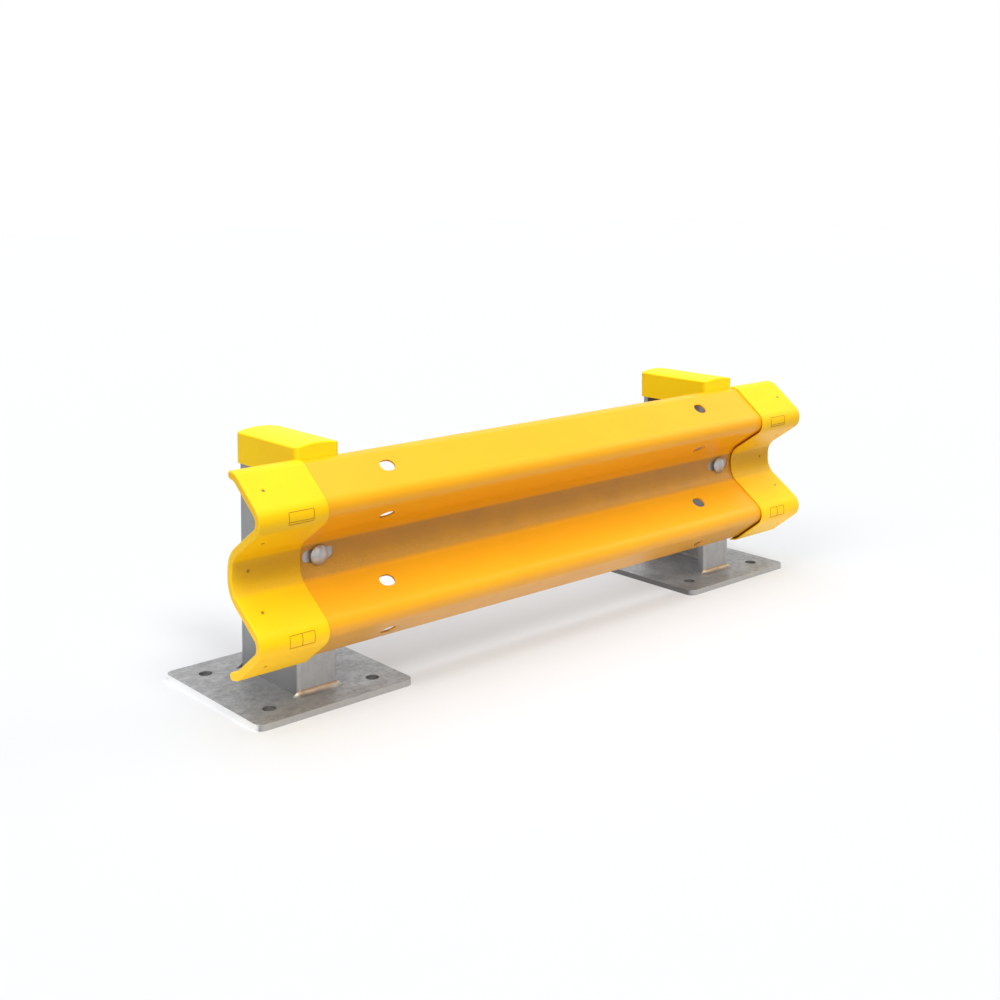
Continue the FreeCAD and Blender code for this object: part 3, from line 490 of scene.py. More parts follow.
def open_material(name: str) -> tuple[Material, Sheet, bpy.types.Node]:
    """Start a material with one Principled shader.

    Args:
        name: The material's name.

    Returns:
        The material, its sheet and its shader node.
    """
    material = bpy.data.materials.new(name)
    material.use_nodes = True
    sheet = Sheet(material.node_tree)
    shader = sheet.add("ShaderNodeBsdfPrincipled")
    surface = sheet.add("ShaderNodeOutputMaterial").inputs["Surface"]
    sheet.feed(surface, shader.outputs["BSDF"])
    return material, sheet, shader


@dataclass(frozen=True)
class Relief:
    """How far a bump's 1 stands above its 0, and how much of it shows."""

    depth: float
    strength: float

    def over(self, sheet: Sheet, height: Feed, normal: Feed) -> Socket:
        """Lay the bump over a normal.

        Args:
            sheet: The material's sheet.
            height: The height from 0 to 1.
            normal: The normal under it.

        Returns:
            The bumped normal's socket.
        """
        node = sheet.add("ShaderNodeBump")
        sheet.fill(node, Strength=self.strength, Distance=self.depth, Height=height, Normal=normal)
        return node.outputs[0]


@dataclass(frozen=True)
class PowderCoat:
    """Powder coat on formed steel: orange peel, flecks, scuffs, thin edges and painted shade in the hollow
    and on the foot.
    """

    name: str
    colour: Colour
    deep: Colour
    fleck: Colour
    edge: Colour
    painted_shade: Colour
    drifted: float = 0.30
    flecked: float = 0.16
    scuffed: float = 0.25
    worn: float = 0.30
    painted_shade_share: float = 0.62
    foot: float = 0.48
    peel: float = 1.9
    rough: Range = (0.29, 0.40)
    scuff_rough: float = 0.12
    shine: float = 0.36
    peel_relief: Relief = Relief(0.06 * MILLIMETRE, 0.55)
    fine_relief: Relief = Relief(0.02 * MILLIMETRE, 0.35)

    def build(self, effects: Effects) -> Material:
        """Build the finish.

        Args:
            effects: The shared surface effects.

        Returns:
            The finished material.
        """
        material, sheet, shader = open_material(self.name)
        drift = sheet.group(effects.drift, Size=120.0, Shift=3.1)["Mask"]
        fine = sheet.group(effects.grain, Size=0.55)
        peel = sheet.group(effects.grain, Size=self.peel)
        rub = sheet.group(effects.rub, Width=0.7)
        scuff = sheet.group(effects.scuff, Amount=0.5)["Mask"]
        painted_shade = sheet.group(effects.painted_shade, Amount=self.painted_shade_share, Foot=self.foot)["Mask"]
        tone = sheet.layers(
            self.colour,
            (drift, self.drifted, self.deep),
            (fine["Mask"], self.flecked, self.fleck),
            (scuff, self.scuffed, self.edge),
            (rub["Mask"], self.worn, self.edge),
            # Painted shade in the hollow between the crests and on the foot.
            (painted_shade, 1.0, self.painted_shade),
        )
        rough = sheet.fit(fine["Height"], MIDDLING, self.rough)
        rough = sheet.plus(rough, sheet.times(scuff, self.scuff_rough))
        normal = self.peel_relief.over(sheet, peel["Height"], rub["Normal"])
        normal = self.fine_relief.over(sheet, fine["Height"], normal)
        sheet.fill(shader, Base_Color=tone, Roughness=rough, Specular_IOR_Level=self.shine, Normal=normal)
        return material


@dataclass(frozen=True)
class MouldedPlastic:
    """Through-coloured plastic with an eroded grain, paler edges, a painted highlight on faces that look to
    the front and painted shade in the hollow.
    """

    name: str
    colour: Colour
    deep: Colour
    pale: Colour
    # Colour of real dust and of painted shade in the hollow.
    dirt_and_shade: Colour
    front_lit_colour: Colour = WHITE
    drifted: float = 0.28
    flecked: float = 0.10
    scuffed: float = 0.22
    front_lit_share: float = 0.0
    worn: float = 0.35
    dusted: float = 0.03
    painted_shade_share: float = 0.0
    grain: float = 0.8
    coarse: float = 4.0
    edge_width: float = 1.1
    rough: Range = (0.36, 0.50)
    shine: float = 0.22
    coarse_relief: Relief = Relief(0.09 * MILLIMETRE, 0.35)
    fine_relief: Relief = Relief(0.04 * MILLIMETRE, 0.45)

    def build(self, effects: Effects) -> Material:
        """Build the finish.

        Args:
            effects: The shared surface effects.

        Returns:
            The finished material.
        """
        front_on = (-0.5, -0.95)
        material, sheet, shader = open_material(self.name)
        drift = sheet.group(effects.drift, Size=70.0, Shift=7.7)["Mask"]
        grain = sheet.group(effects.grain, Size=self.grain)
        coarse = sheet.group(effects.grain, Size=self.grain * self.coarse)
        rub = sheet.group(effects.rub, Width=self.edge_width)
        dust = sheet.group(effects.dust, Amount=self.dusted)["Mask"]
        painted_shade = sheet.group(effects.painted_shade, Amount=self.painted_shade_share)["Mask"]
        scuff = sheet.group(effects.scuff, Amount=0.4)["Mask"]
        front = sheet.fit(sheet.axes(sheet.normal())["Y"], front_on)
        tone = sheet.layers(
            self.colour,
            (drift, self.drifted, self.deep),
            (grain["Mask"], self.flecked, self.deep),
            (scuff, self.scuffed, self.pale),
            # Painted highlight: faces that look to the front are made paler, as if lit more.
            (front, self.front_lit_share, self.front_lit_colour),
            (rub["Mask"], self.worn, self.pale),
            (dust, 1.0, self.dirt_and_shade),
            # Painted shade in the hollow between the crests, in the same colour as the dust.
            (painted_shade, 1.0, self.dirt_and_shade),
        )
        rough = sheet.plus(sheet.fit(grain["Height"], MIDDLING, self.rough), dust)
        normal = self.coarse_relief.over(sheet, coarse["Height"], rub["Normal"])
        normal = self.fine_relief.over(sheet, grain["Height"], normal)
        sheet.fill(shader, Base_Color=tone, Roughness=rough, Specular_IOR_Level=self.shine, Normal=normal)
        return material


@dataclass(frozen=True)
class DippedZinc:
    """Steel dipped in zinc: spangle, runs, dull clouds and bright edges.

    On a plate, middle and rim tell its sheared edges from its holes: what
    lies farther from the middle than the rim is an edge. Faces that look out
    past the rail's end take the side colour: painted shade on a post, a bright
    metal for a plate's sheared edges. Faces that look along the rail to its
    other end take the colour of a hole's wall, which is painted shade.
    """

    name: str
    light: Colour
    dark: Colour
    bright: Colour
    side: Colour
    painted_shade_tone: Colour
    front: Colour = WHITE
    dust: Colour = WHITE
    drifted: float = 0.22
    flecked: float = 0.14
    worn: float = 0.5
    dusted: float = 0.0
    hole_shade_share: float = 0.8
    sided: float = 0.96
    shaded: float = 0.0
    evened: float = 0.0
    sheared: float = 0.0
    spangle: float = 14.0
    run: tuple[float, float, float] = (1.0, 1.0, 1.0)
    metal: Range = (0.4, 0.6)
    rough: Range = (0.36, 0.56)
    sheared_gloss: float = 0.3
    middle: tuple[float, float] = (0.0, 0.0)
    rim: float = 0.0
    zinc_relief: Relief = Relief(0.22 * MILLIMETRE, 0.30)
    fine_relief: Relief = Relief(0.04 * MILLIMETRE, 0.35)

    def build(self, effects: Effects) -> Material:
        """Build the finish.

        Args:
            effects: The shared surface effects.

        Returns:
            The finished material.
        """
        zinc_shows = (0.2, 0.8)
        material, sheet, shader = open_material(self.name)
        runs = {f"Run_{axis}": value for axis, value in zip("XYZ", self.run)}
        zinc = sheet.group(effects.spangle, Size=self.spangle, **runs)
        drift = sheet.group(effects.drift, Size=38.0, Shift=1.9)["Mask"]
        grain = sheet.group(effects.grain, Size=0.9)
        rub = sheet.group(effects.rub, Width=1.0)
        dust = sheet.group(effects.dust, Amount=self.dusted)["Mask"]
        facing, place = sheet.axes(sheet.normal()), sheet.axes(sheet.place())
        beside = sheet.size(sheet.minus(sheet.size(place["X"]), self.middle[0]))
        before = sheet.size(sheet.minus(place["Y"], self.middle[1]))
        outer = sheet.math("GREATER_THAN", sheet.math("MAXIMUM", beside, before), self.rim)
        inner = sheet.times(sheet.fit(sheet.size(facing["Z"]), STEEP), sheet.minus(1.0, outer))
        outward = sheet.times(facing["X"], sheet.math("SIGN", place["X"]))
        away = sheet.times(sheet.fit(outward, SQUARE_ON), outer)
        towards = sheet.times(sheet.fit(sheet.times(outward, -1.0), SQUARE_ON), outer)
        along = sheet.times(sheet.fit(sheet.size(facing["Y"]), SQUARE_ON), outer)
        # Painted shade on hole walls and on faces that look along the rail to its other end.
        dull = sheet.math("MAXIMUM", sheet.times(inner, self.hole_shade_share), sheet.times(towards, self.shaded))
        tone = sheet.layers(
            sheet.blend(zinc["Tone"], self.dark, self.light),
            (drift, self.drifted, self.dark),
            (grain["Mask"], self.flecked, self.bright),
            (rub["Mask"], self.worn, self.bright),
            (dust, 1.0, self.dust),
            (dull, 1.0, self.painted_shade_tone),
            (along, self.evened, self.front),
            # The side colour is painted shade on a post and a bright metal on a plate's sheared edges.
            (away, self.sided, self.side),
        )
        bare = sheet.times(away, self.sided * self.sheared)
        metal = sheet.math("MAXIMUM", sheet.fit(zinc["Tone"], zinc_shows, self.metal), bare)
        rough = sheet.fit(drift, UNIT, self.rough)
        rough = sheet.minus(rough, sheet.times(bare, self.sheared_gloss))
        normal = self.zinc_relief.over(sheet, zinc["Height"], rub["Normal"])
        normal = self.fine_relief.over(sheet, grain["Height"], normal)
        sheet.fill(shader, Base_Color=tone, Metallic=metal, Roughness=rough, Normal=normal)
        return material


@dataclass(frozen=True)
class WeldBead:
    """A zinc-covered weld with painted shade and a painted warm reflection along its upper toe.

    The body's colour and the painted shade each come in over a range of heights above
    the plate.
    """

    name: str
    light: Colour
    dark: Colour
    toe: Colour
    upper_shade: Colour
    plate_top: float
    body: Range = (2.2 * MILLIMETRE, 4.5 * MILLIMETRE)
    upper_shade_band: Range = (6.0 * MILLIMETRE, 7.0 * MILLIMETRE)
    ripple: float = 1.6 * MILLIMETRE
    upper_shade_share: float = 0.85
    flecked: float = 0.2
    metal: Range = (0.75, 0.35)
    rough: Range = (0.30, 0.46)
    relief: Relief = Relief(0.3 * MILLIMETRE, 0.35)

    def build(self, effects: Effects) -> Material:
        """Build the finish.

        Args:
            effects: The shared surface effects.

        Returns:
            The finished material.
        """
        material, sheet, shader = open_material(self.name)
        place = sheet.place()
        ragged = sheet.noise(place, scale=260.0, detail=3.0, rough=0.6)["Fac"]
        height = sheet.minus(sheet.axes(place)["Z"], self.plate_top)
        height = sheet.plus(height, sheet.times(ragged, self.ripple))
        # Painted shade with a painted warm reflection along the upper toe.
        upper_shade = sheet.fit(height, self.upper_shade_band)
        grain = sheet.group(effects.grain, Size=1.1)
        drift = sheet.group(effects.drift, Size=16.0, Shift=5.3)["Mask"]
        rub = sheet.group(effects.rub, Width=0.8)
        bead = sheet.blend(drift, self.light, self.dark)
        tone = sheet.layers(
            sheet.blend(sheet.fit(height, self.body), self.toe, bead),
            (upper_shade, self.upper_shade_share, self.upper_shade),
            (grain["Mask"], self.flecked, self.light),
        )
        metal = sheet.fit(upper_shade, UNIT, self.metal)
        rough = sheet.fit(grain["Height"], MIDDLING, self.rough)
        normal = self.relief.over(sheet, ragged, rub["Normal"])
        sheet.fill(shader, Base_Color=tone, Metallic=metal, Roughness=rough, Normal=normal)
        return material


@dataclass(frozen=True)
class PlatedSteel:
    """Turned or pressed steel with a thin plating and handling marks."""

    name: str
    light: Colour
    dark: Colour
    metal: float
    rough: Range
    grain: float = 0.5
    flecked: float = 0.25
    worn: float = 0.5
    relief: Relief = Relief(0.03 * MILLIMETRE, 0.4)

    def build(self, effects: Effects) -> Material:
        """Build the finish.

        Args:
            effects: The shared surface effects.

        Returns:
            The finished material.
        """
        material, sheet, shader = open_material(self.name)
        drift = sheet.group(effects.drift, Size=11.0, Shift=2.3)["Mask"]
        grain = sheet.group(effects.grain, Size=self.grain)
        rub = sheet.group(effects.rub, Width=0.4)
        tone = sheet.layers(
            sheet.blend(drift, self.light, self.dark),
            (grain["Mask"], self.flecked, self.dark),
            (rub["Mask"], self.worn, self.light),
        )
        rough = sheet.fit(drift, UNIT, self.rough)
        normal = self.relief.over(sheet, grain["Height"], rub["Normal"])
        sheet.fill(shader, Base_Color=tone, Metallic=self.metal, Roughness=rough, Normal=normal)
        return material


class Finishes:
    """Every finish of the rail, built once and handed to the pieces."""

    def __init__(self) -> None:
        """Build the effects and the materials."""
        sheared_strip = 6.0 * MILLIMETRE
        beam_low, beam_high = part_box("rail_beam")
        low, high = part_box("base_plate_right")
        effects = Effects(PaintedShadeZone(middle=(beam_low.z + beam_high.z) / 2))
        self.rail = PowderCoat(
            "Traffic yellow powder coat",
            colour=screen(250, 175, 10),
            deep=screen(243, 163, 8),
            fleck=screen(208, 130, 14),
            edge=screen(252, 197, 62),
            # Colour of the painted shade in the rail's hollow and on its foot.
            painted_shade=screen(140, 118, 66),
        ).build(effects)
        self.cap = MouldedPlastic(
            "Yellow cap plastic",
            colour=screen(254, 210, 12),
            deep=screen(250, 199, 10),
            pale=screen(255, 224, 62),
            dirt_and_shade=screen(212, 196, 146),
            # Painted highlight on the cap's faces that look to the front.
            front_lit_colour=screen(255, 236, 30),
            front_lit_share=0.9,
            shine=0.15,
            dusted=0.015,
            edge_width=2.6,
        ).build(effects)
        self.sleeve = MouldedPlastic(
            "Yellow sleeve plastic",
            colour=screen(254, 202, 11),
            deep=screen(250, 191, 9),
            pale=screen(255, 217, 60),
            dirt_and_shade=screen(160, 124, 60),
            grain=0.7,
            rough=(0.34, 0.48),
            # Share of painted shade in the sleeve's hollow.
            painted_shade_share=0.3,
        ).build(effects)
        self.frame_line = MouldedPlastic(
            "Shaded moulding line",
            colour=screen(180, 126, 12),
            deep=screen(158, 106, 10),
            pale=screen(196, 144, 28),
            dirt_and_shade=screen(150, 120, 60),
        ).build(effects)
        self.post = DippedZinc(
            "Dipped post steel",
            light=screen(196, 197, 198),
            dark=screen(172, 173, 175),
            bright=screen(212, 212, 212),
            # Painted shade on the post's faces that look along the rail, both outwards and inwards.
            side=screen(140, 141, 143),
            painted_shade_tone=screen(140, 141, 143),
            shaded=0.96,
            spangle=7.0,
            run=(1.0, 1.0, 0.3),
        ).build(effects)
        self.plate = DippedZinc(
            "Dipped plate steel",
            light=screen(180, 181, 182),
            dark=screen(108, 110, 112),
            bright=screen(192, 193, 194),
            side=screen(251, 251, 251),
            # Painted shade on the plate's hole walls and on its edges that look to the rail's middle.
            painted_shade_tone=screen(104, 104, 104),
            front=screen(174, 170, 166),
            dust=screen(146, 142, 136),
            dusted=0.2,
            shaded=0.9,
            evened=0.7,
            sheared=1.05,
            spangle=4.6,
            run=(0.5, 1.0, 1.0),
            middle=((low.x + high.x) / 2, (low.y + high.y) / 2),
            rim=(high.x - low.x) / 2 - sheared_strip,
        ).build(effects)
        self.weld = WeldBead(
            "Weld under zinc",
            light=screen(216, 208, 196),
            dark=screen(188, 179, 167),
            toe=screen(136, 134, 130),
            # Painted shade warmed by a painted reflection of the yellow rail.
            upper_shade=screen(164, 128, 80),
            plate_top=high.z,
        ).build(effects)
        # A darker copy of the weld finish for the welds behind and beside the post: painted shade.
        self.shaded_weld = WeldBead(
            "Weld under zinc in painted shade",
            light=screen(172, 171, 168),
            dark=screen(146, 145, 143),
            toe=screen(140, 140, 139),
            # Painted shade warmed by a painted reflection of the yellow rail.
            upper_shade=screen(132, 118, 102),
            plate_top=high.z,
        ).build(effects)
        self.bolt = PlatedSteel(
            "Plated bolt steel",
            light=screen(194, 194, 194),
            dark=screen(164, 165, 166),
            metal=0.6,
            rough=(0.36, 0.5),
        ).build(effects)
        self.screw = PlatedSteel(
            "Dark screw steel",
            light=screen(190, 142, 40),
            dark=screen(142, 102, 26),
            metal=0.2,
            rough=(0.38, 0.5),
        ).build(effects)


class GeometryTree:
    """A Geometry Nodes tree with named inputs that grows one kind of piece."""

    def __init__(self, name: str, inputs: dict[str, str]) -> None:
        """Start the tree.

        Args:
            name: The tree's name.
            inputs: Each input with its kind, such as Float or Vector.
        """
        tree = bpy.data.node_groups.new(name, "GeometryNodeTree")
        self.sockets = {
            label: tree.interface.new_socket(label, in_out="INPUT", socket_type=f"NodeSocket{kind}")
            for label, kind in inputs.items()
        }
        tree.interface.new_socket("Geometry", in_out="OUTPUT", socket_type="NodeSocketGeometry")
        self.sheet = Sheet(tree)
        self.given = self.sheet.add("NodeGroupInput").outputs
        self.made = self.sheet.add("NodeGroupOutput").inputs[0]

    def tube(self, curve: Feed, sides: int, radius: Feed) -> Socket:
        """Sweep a ring along a curve and close both ends.

        Args:
            curve: The curve to follow.
            sides: The ring's sides.
            radius: The ring's radius.

        Returns:
            The tube's socket.
        """
        sheet = self.sheet
        ring = sheet.fill(sheet.add("GeometryNodeCurvePrimitiveCircle"), Resolution=sides, Radius=radius)
        swept = sheet.add("GeometryNodeCurveToMesh")
        sheet.fill(swept, Curve=curve, Profile_Curve=ring.outputs[0], Fill_Caps=True)
        return swept.outputs[0]

    def close(self, shape: Socket) -> None:
        """End the tree: shade smooth, realize, set the finish and put it out.

        Args:
            shape: The geometry to put out.
        """
        sheet = self.sheet
        shade = sheet.fill(sheet.add("GeometryNodeSetShadeSmooth"), Geometry=shape, Shade_Smooth=True)
        real = sheet.fill(sheet.add("GeometryNodeRealizeInstances"), Geometry=shade.outputs[0])
        paint = sheet.add("GeometryNodeSetMaterial")
        sheet.fill(paint, Geometry=real.outputs[0], Material=self.given["Finish"])
        sheet.feed(self.made, paint.outputs[0])

    def grow(self, name: str, values: dict[str, object]) -> bpy.types.Object:
        """Run the tree and keep its result as a plain mesh.

        Args:
            name: The piece's name.
            values: The tree's inputs by name.

        Returns:
            A mesh object at the origin with no modifier.
        """
        carrier = bpy.data.objects.new(f"{name}_carrier", bpy.data.meshes.new(name))
        bpy.context.scene.collection.objects.link(carrier)
        modifier = carrier.modifiers.new("grow", "NODES")
        modifier.node_group = self.sheet.tree
        for label, value in values.items():
            modifier[self.sockets[label].identifier] = value
        ready = carrier.evaluated_get(bpy.context.evaluated_depsgraph_get())
        mesh = bpy.data.meshes.new_from_object(ready)
        mesh.name = name
        bpy.data.objects.remove(carrier)
        piece = bpy.data.objects.new(name, mesh)
        bpy.context.scene.collection.objects.link(piece)
        LOG.info("grew %s with %d faces", name, len(mesh.polygons))
        return piece


def plate_frame_tree() -> GeometryTree:
    """Return the tree of a thin moulded frame that lies on a curved face."""
    grown = GeometryTree(
        "Moulded frame",
        {
            "Carrier": "Object",
            "Centre": "Vector",
            "Width": "Float",
            "Height": "Float",
            "Bar Start": "Vector",
            "Bar End": "Vector",
            "Line": "Float",
            "Finish": "Material",
        },
    )
    cuts, rib_sides, ray_length = 14, 8, 1.0
    sheet, given = grown.sheet, grown.given
    outline = sheet.add("GeometryNodeCurvePrimitiveQuadrilateral", mode="RECTANGLE")
    sheet.fill(outline, Width=given["Width"], Height=given["Height"])
    bar = sheet.add("GeometryNodeCurvePrimitiveLine")
    sheet.fill(bar, Start=given["Bar Start"], End=given["Bar End"])
    both = sheet.add("GeometryNodeJoinGeometry")
    for curve in (bar, outline):
        sheet.feed(both.inputs[0], curve.outputs[0])
    upright = sheet.add("GeometryNodeTransform")
    sheet.fill(upright, Geometry=both.outputs[0], Translation=given["Centre"])
    sheet.fill(upright, Rotation=(math.pi / 2, 0.0, 0.0))
    fine = sheet.fill(sheet.add("GeometryNodeSubdivideCurve"), Curve=upright.outputs[0], Cuts=cuts)
    carrier = sheet.fill(sheet.add("GeometryNodeObjectInfo"), Object=given["Carrier"])
    hit = sheet.add("GeometryNodeRaycast")
    sheet.fill(hit, Target_Geometry=carrier.outputs["Geometry"])
    sheet.fill(hit, Ray_Direction=(0.0, 1.0, 0.0), Ray_Length=ray_length)
    laid = sheet.add("GeometryNodeSetPosition")
    sheet.fill(laid, Geometry=fine.outputs[0], Position=hit.outputs["Hit Position"])
    grown.close(grown.tube(laid.outputs[0], rib_sides, given["Line"]))
    return grown


def thread_tree() -> GeometryTree:
    """Return the tree of a screw thread wound round a line along Y."""
    grown = GeometryTree(
        "Screw thread",
        {"Start": "Vector", "Radius": "Float", "Pitch": "Float", "Turns": "Float", "Finish": "Material"},
    )
    steps, crest_sides, crest_share = 36, 6, 0.36
    sheet, given = grown.sheet, grown.given
    helix = sheet.add("GeometryNodeCurveSpiral")
    sheet.fill(helix, Resolution=steps, Rotations=given["Turns"])
    sheet.fill(helix, Start_Radius=given["Radius"], End_Radius=given["Radius"])
    sheet.fill(helix, Height=sheet.times(given["Pitch"], given["Turns"]))
    wound = grown.tube(helix.outputs[0], crest_sides, sheet.times(given["Pitch"], crest_share))
    placed = sheet.add("GeometryNodeTransform")
    sheet.fill(placed, Geometry=wound, Translation=given["Start"], Rotation=(-math.pi / 2, 0.0, 0.0))
    grown.close(placed.outputs[0])
    return grown


@dataclass
class Kit:
    """What every piece is made with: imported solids, finishes and the two trees."""

    nodes: dict[str, bpy.types.Object]
    finishes: Finishes
    moulded: GeometryTree
    thread: GeometryTree

    def dress(self, name: str, material: Material) -> bpy.types.Object:
        """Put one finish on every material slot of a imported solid.

        Args:
            name: The solid's name.
            material: The finish.

        Returns:
            The solid.
        """
        node = self.nodes[name]
        if not node.material_slots:
            node.data.materials.append(material)
        for slot in node.material_slots:
            slot.material = material
        LOG.info("dressed %s in %s", name, material.name)
        return node


@dataclass
class RailBeam:
    """The two-wave steel beam in powder coat."""

    kit: Kit

    def build(self) -> None:
        """Dress the beam."""
        self.kit.dress("rail_beam", self.kit.finishes.rail)


@dataclass
class PostFoot:
    """One post with its base plate, welds and cap."""

    kit: Kit
    side: Side

    def build(self) -> None:
        """Dress the post, the plate, the welds and the cap."""
        finishes = self.kit.finishes
        for name, finish in (
            ("post", finishes.post),
            ("base_plate", finishes.plate),
            ("weld_front", finishes.weld),
            ("weld_rear", finishes.shaded_weld),
            ("weld_web", finishes.shaded_weld),
            ("post_cap", finishes.cap),
        ):
            self.kit.dress(f"{name}_{self.side.value}", finish)


@dataclass
class RailFixing:
    """The domed bolt at one post, with its washer, nut and screw thread."""

    kit: Kit
    side: Side
    pitch: float = 2.0 * MILLIMETRE
    radius: float = 7.75 * MILLIMETRE
    turns_in_nut: float = 0.5
    turns_short: float = 0.2

    def build(self) -> None:
        """Dress the steel and wind the thread on the bolt's free end."""
        end = self.side.value
        finish = self.kit.finishes.bolt
        for part in ("bolt", "washer", "nut"):
            self.kit.dress(f"rail_{part}_{end}", finish)
        bolt_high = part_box(f"rail_bolt_{end}")[1]
        nut_low, nut_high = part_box(f"rail_nut_{end}")
        middle = (nut_low + nut_high) / 2
        middle.y = nut_high.y - self.turns_in_nut * self.pitch
        coil = self.kit.thread.grow(
            f"bolt_thread_{end}",
            {
                "Start": middle,
                "Radius": self.radius,
                "Pitch": self.pitch,
                "Turns": (bolt_high.y - nut_high.y) / self.pitch - self.turns_short,
                "Finish": finish,
            },
        )
        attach(coil, "root")


@dataclass(frozen=True)
class BareFrame:
    """One moulded frame: its height over the rail's middle and its dividing line.

    The line's ends are shares of the frame's width and height.
    """

    place: str
    rise: float
    bar_start: tuple[float, float, float]
    bar_end: tuple[float, float, float]


@dataclass
class EndSleeve:
    """One plastic sleeve with its screws and two bare moulded frames."""

    kit: Kit
    side: Side
    frame_width: float = 43.6 * MILLIMETRE
    frame_height: float = 18.5 * MILLIMETRE
    frame_middle: float = 570.0 * MILLIMETRE
    line: float = 0.55 * MILLIMETRE
    ahead: float = 0.4
    frames: tuple[BareFrame, ...] = (
        BareFrame("upper", 90.5 * MILLIMETRE, (-0.5, -0.3, 0.0), (0.5, -0.3, 0.0)),
        BareFrame("lower", -93.5 * MILLIMETRE, (0.0, -0.5, 0.0), (0.0, 0.5, 0.0)),
    )

    def build(self) -> None:
        """Dress the sleeve and lay a frame on each of its two crests."""
        end, finishes = self.side.value, self.kit.finishes
        sleeve = self.kit.dress(f"end_cover_{end}", finishes.sleeve)
        self.kit.dress(f"cover_screws_{end}", finishes.screw)
        low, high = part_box("rail_beam")
        middle = Vector((self.side.sign * self.frame_middle, -self.ahead, (low.z + high.z) / 2))
        size = Vector((self.frame_width, self.frame_height, 0.0))
        for bare in self.frames:
            rib = self.kit.moulded.grow(
                f"moulded_frame_{bare.place}_{end}",
                {
                    "Carrier": sleeve,
                    "Centre": middle + Vector((0.0, 0.0, bare.rise)),
                    "Width": self.frame_width,
                    "Height": self.frame_height,
                    "Bar Start": Vector(bare.bar_start) * size,
                    "Bar End": Vector(bare.bar_end) * size,
                    "Line": self.line,
                    "Finish": finishes.frame_line,
                },
            )
            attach(rib, "root")


@dataclass(frozen=True)
class Viewpoint:
    """Where the camera stands, in metres and degrees, and what it takes in.

    The focal length is in pixels of the frame, and the sensor in millimetres.
    """

    place: tuple[float, float, float] = (-1.682061, -1.858090, 0.836653)
    heading: float = 48.52738
    pitch: float = 2.73228
    roll: float = -0.03446
    focal: float = 1378.177
    frame: float = 1000.0
    shift: float = -0.27
    sensor: float = 36.0
    farthest: float = 60.0

    def turned(self) -> Matrix:
        """Return the camera's place and turn as one matrix."""
        heading, pitch, roll = (math.radians(v) for v in (self.heading, self.pitch, self.roll))
        level = math.cos(pitch)
        ahead = Vector((level * math.cos(heading), level * math.sin(heading), -math.sin(pitch)))
        right = Vector((math.sin(heading), -math.cos(heading), 0.0))
        above = right.cross(ahead)
        across = math.cos(roll) * right + math.sin(roll) * above
        upward = -math.sin(roll) * right + math.cos(roll) * above
        matrix = Matrix((across, upward, -ahead)).transposed().to_4x4()
        matrix.translation = Vector(self.place)
        return matrix


@dataclass(frozen=True)
class Lamp:
    """One far lamp: where its light comes from and how wide it looks."""

    name: str
    strength: float
    source: tuple[float, float, float]
    spread: float

    def hang(self) -> None:
        """Put the lamp in the scene."""
        lamp = bpy.data.lights.new(self.name, "SUN")
        lamp.energy = self.strength
        lamp.angle = math.radians(self.spread)
        item = bpy.data.objects.new(self.name, lamp)
        item.rotation_mode = "QUATERNION"
        item.rotation_quaternion = Vector(self.source).to_track_quat("Z", "Y")
        bpy.context.scene.collection.objects.link(item)


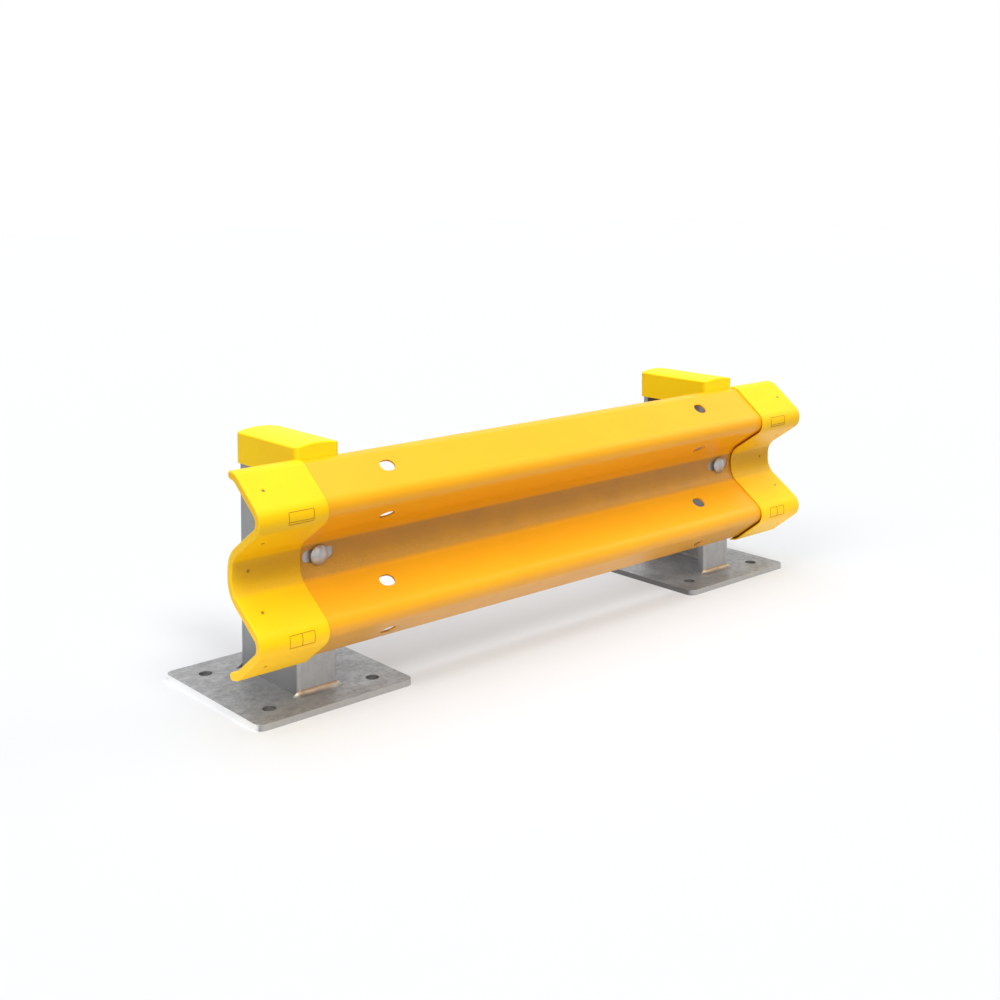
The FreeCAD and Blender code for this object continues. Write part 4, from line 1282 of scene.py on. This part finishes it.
@dataclass
class Studio:
    """The floor, the light and the camera.

    Round the rail the floor throws back bright light. In that pool a step
    along the rail counts for less than one across it, by the squeeze.
    """

    view: Viewpoint = field(default_factory=Viewpoint)
    lamps: tuple[Lamp, ...] = (
        Lamp("overhead", 2.25, (0.0, 0.05, 1.0), 60.0),
        Lamp("high_front", 1.88, (-0.1, -0.78, 1.0), 20.0),
        Lamp("high_left", 1.10, (-0.9, -0.15, 0.8), 30.0),
        Lamp("low_left", 0.80, (-0.9, -0.9, 0.05), 60.0),
        Lamp("low_right", 0.45, (0.9, -0.25, 0.4), 40.0),
    )
    sky_back: float = 0.12
    sky_turns: Range = (-0.75, -0.15)
    floor_reach: float = 14.0
    floor_rough: float = 0.9
    floor_shine: float = 0.1
    pool_squeeze: float = 0.45
    pool_fades: Range = (0.32, 0.60)
    floor_near: Colour = screen(250, 250, 249)
    floor_far: Colour = screen(90, 90, 90)
    floor_seen: Colour = screen(178, 180, 182)
    floor_glow: float = 0.26

    def build(self) -> None:
        """Set up all three."""
        self._floor()
        self._sky()
        for lamp in self.lamps:
            lamp.hang()
        self._camera()

    def _floor(self) -> None:
        """Lay a wide pale floor that takes the rail's shadow."""
        reach = self.floor_reach
        mesh = bpy.data.meshes.new("floor")
        corners = [(-reach, -reach, 0.0), (reach, -reach, 0.0), (reach, reach, 0.0), (-reach, reach, 0.0)]
        mesh.from_pydata(corners, [], [(0, 1, 2, 3)])
        floor = bpy.data.objects.new("floor", mesh)
        bpy.context.scene.collection.objects.link(floor)
        material, sheet, shader = open_material("Pale floor")
        place = sheet.axes(sheet.place())
        along = sheet.times(sheet.size(place["X"]), self.pool_squeeze)
        distance = sheet.math("MAXIMUM", along, sheet.size(place["Y"]))
        bounce = sheet.blend(sheet.fit(distance, self.pool_fades), self.floor_near, self.floor_far)
        seen = self._seen(sheet)
        tone, glow = sheet.blend(seen, bounce, self.floor_seen), sheet.times(seen, self.floor_glow)
        sheet.fill(shader, Base_Color=tone, Emission_Color=WHITE, Emission_Strength=glow)
        sheet.fill(shader, Roughness=self.floor_rough, Specular_IOR_Level=self.floor_shine)
        mesh.materials.append(material)

    @staticmethod
    def _seen(sheet: Sheet) -> Socket:
        """Tell the rays that show a surface from those that only light one.

        Args:
            sheet: The sheet to add the test to.

        Returns:
            1 for rays from the camera, off a gloss or through glass, else 0.
        """
        path = sheet.add("ShaderNodeLightPath")
        eye = sheet.math("MAXIMUM", path.outputs["Is Camera Ray"], path.outputs["Is Glossy Ray"])
        return sheet.math("MAXIMUM", eye, path.outputs["Is Transmission Ray"])

    def _sky(self) -> None:
        """Light faintly from all round but the front and show white behind the rail."""
        world = bpy.data.worlds.new("White room")
        world.use_nodes = True
        sheet = Sheet(world.node_tree)
        way = sheet.axes(sheet.add("ShaderNodeTexCoord").outputs["Generated"])
        behind = sheet.fit(way["Y"], self.sky_turns, (0.0, self.sky_back))
        light = sheet.fill(sheet.add("ShaderNodeBackground"), Color=WHITE, Strength=behind)
        white = sheet.fill(sheet.add("ShaderNodeBackground"), Color=WHITE, Strength=1.0)
        pick = sheet.add("ShaderNodeMixShader")
        for socket, source in zip(pick.inputs, (self._seen(sheet), light.outputs[0], white.outputs[0])):
            sheet.feed(socket, source)
        surface = sheet.add("ShaderNodeOutputWorld").inputs["Surface"]
        sheet.feed(surface, pick.outputs[0])
        bpy.context.scene.world = world

    def _camera(self) -> None:
        """Place the camera at the photograph's viewing angle."""
        data = bpy.data.cameras.new("camera")
        data.sensor_width = self.view.sensor
        data.lens = self.view.focal / self.view.frame * data.sensor_width
        data.shift_y = self.view.shift
        data.clip_end = self.view.farthest
        camera = bpy.data.objects.new("camera", data)
        camera.matrix_world = self.view.turned()
        bpy.context.scene.collection.objects.link(camera)
        bpy.context.scene.camera = camera


def main() -> None:
    """Build the rail in order and set up the studio."""
    logging.basicConfig(level=logging.INFO, format="%(name)s: %(message)s")
    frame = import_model()
    bpy.context.scene.view_settings.view_transform = "Standard"
    kit = Kit(frame["nodes"], Finishes(), plate_frame_tree(), thread_tree())
    RailBeam(kit).build()
    for side in Side:
        PostFoot(kit, side).build()
        RailFixing(kit, side).build()
        EndSleeve(kit, side).build()
    Studio().build()


if __name__ == "__main__":
    main()
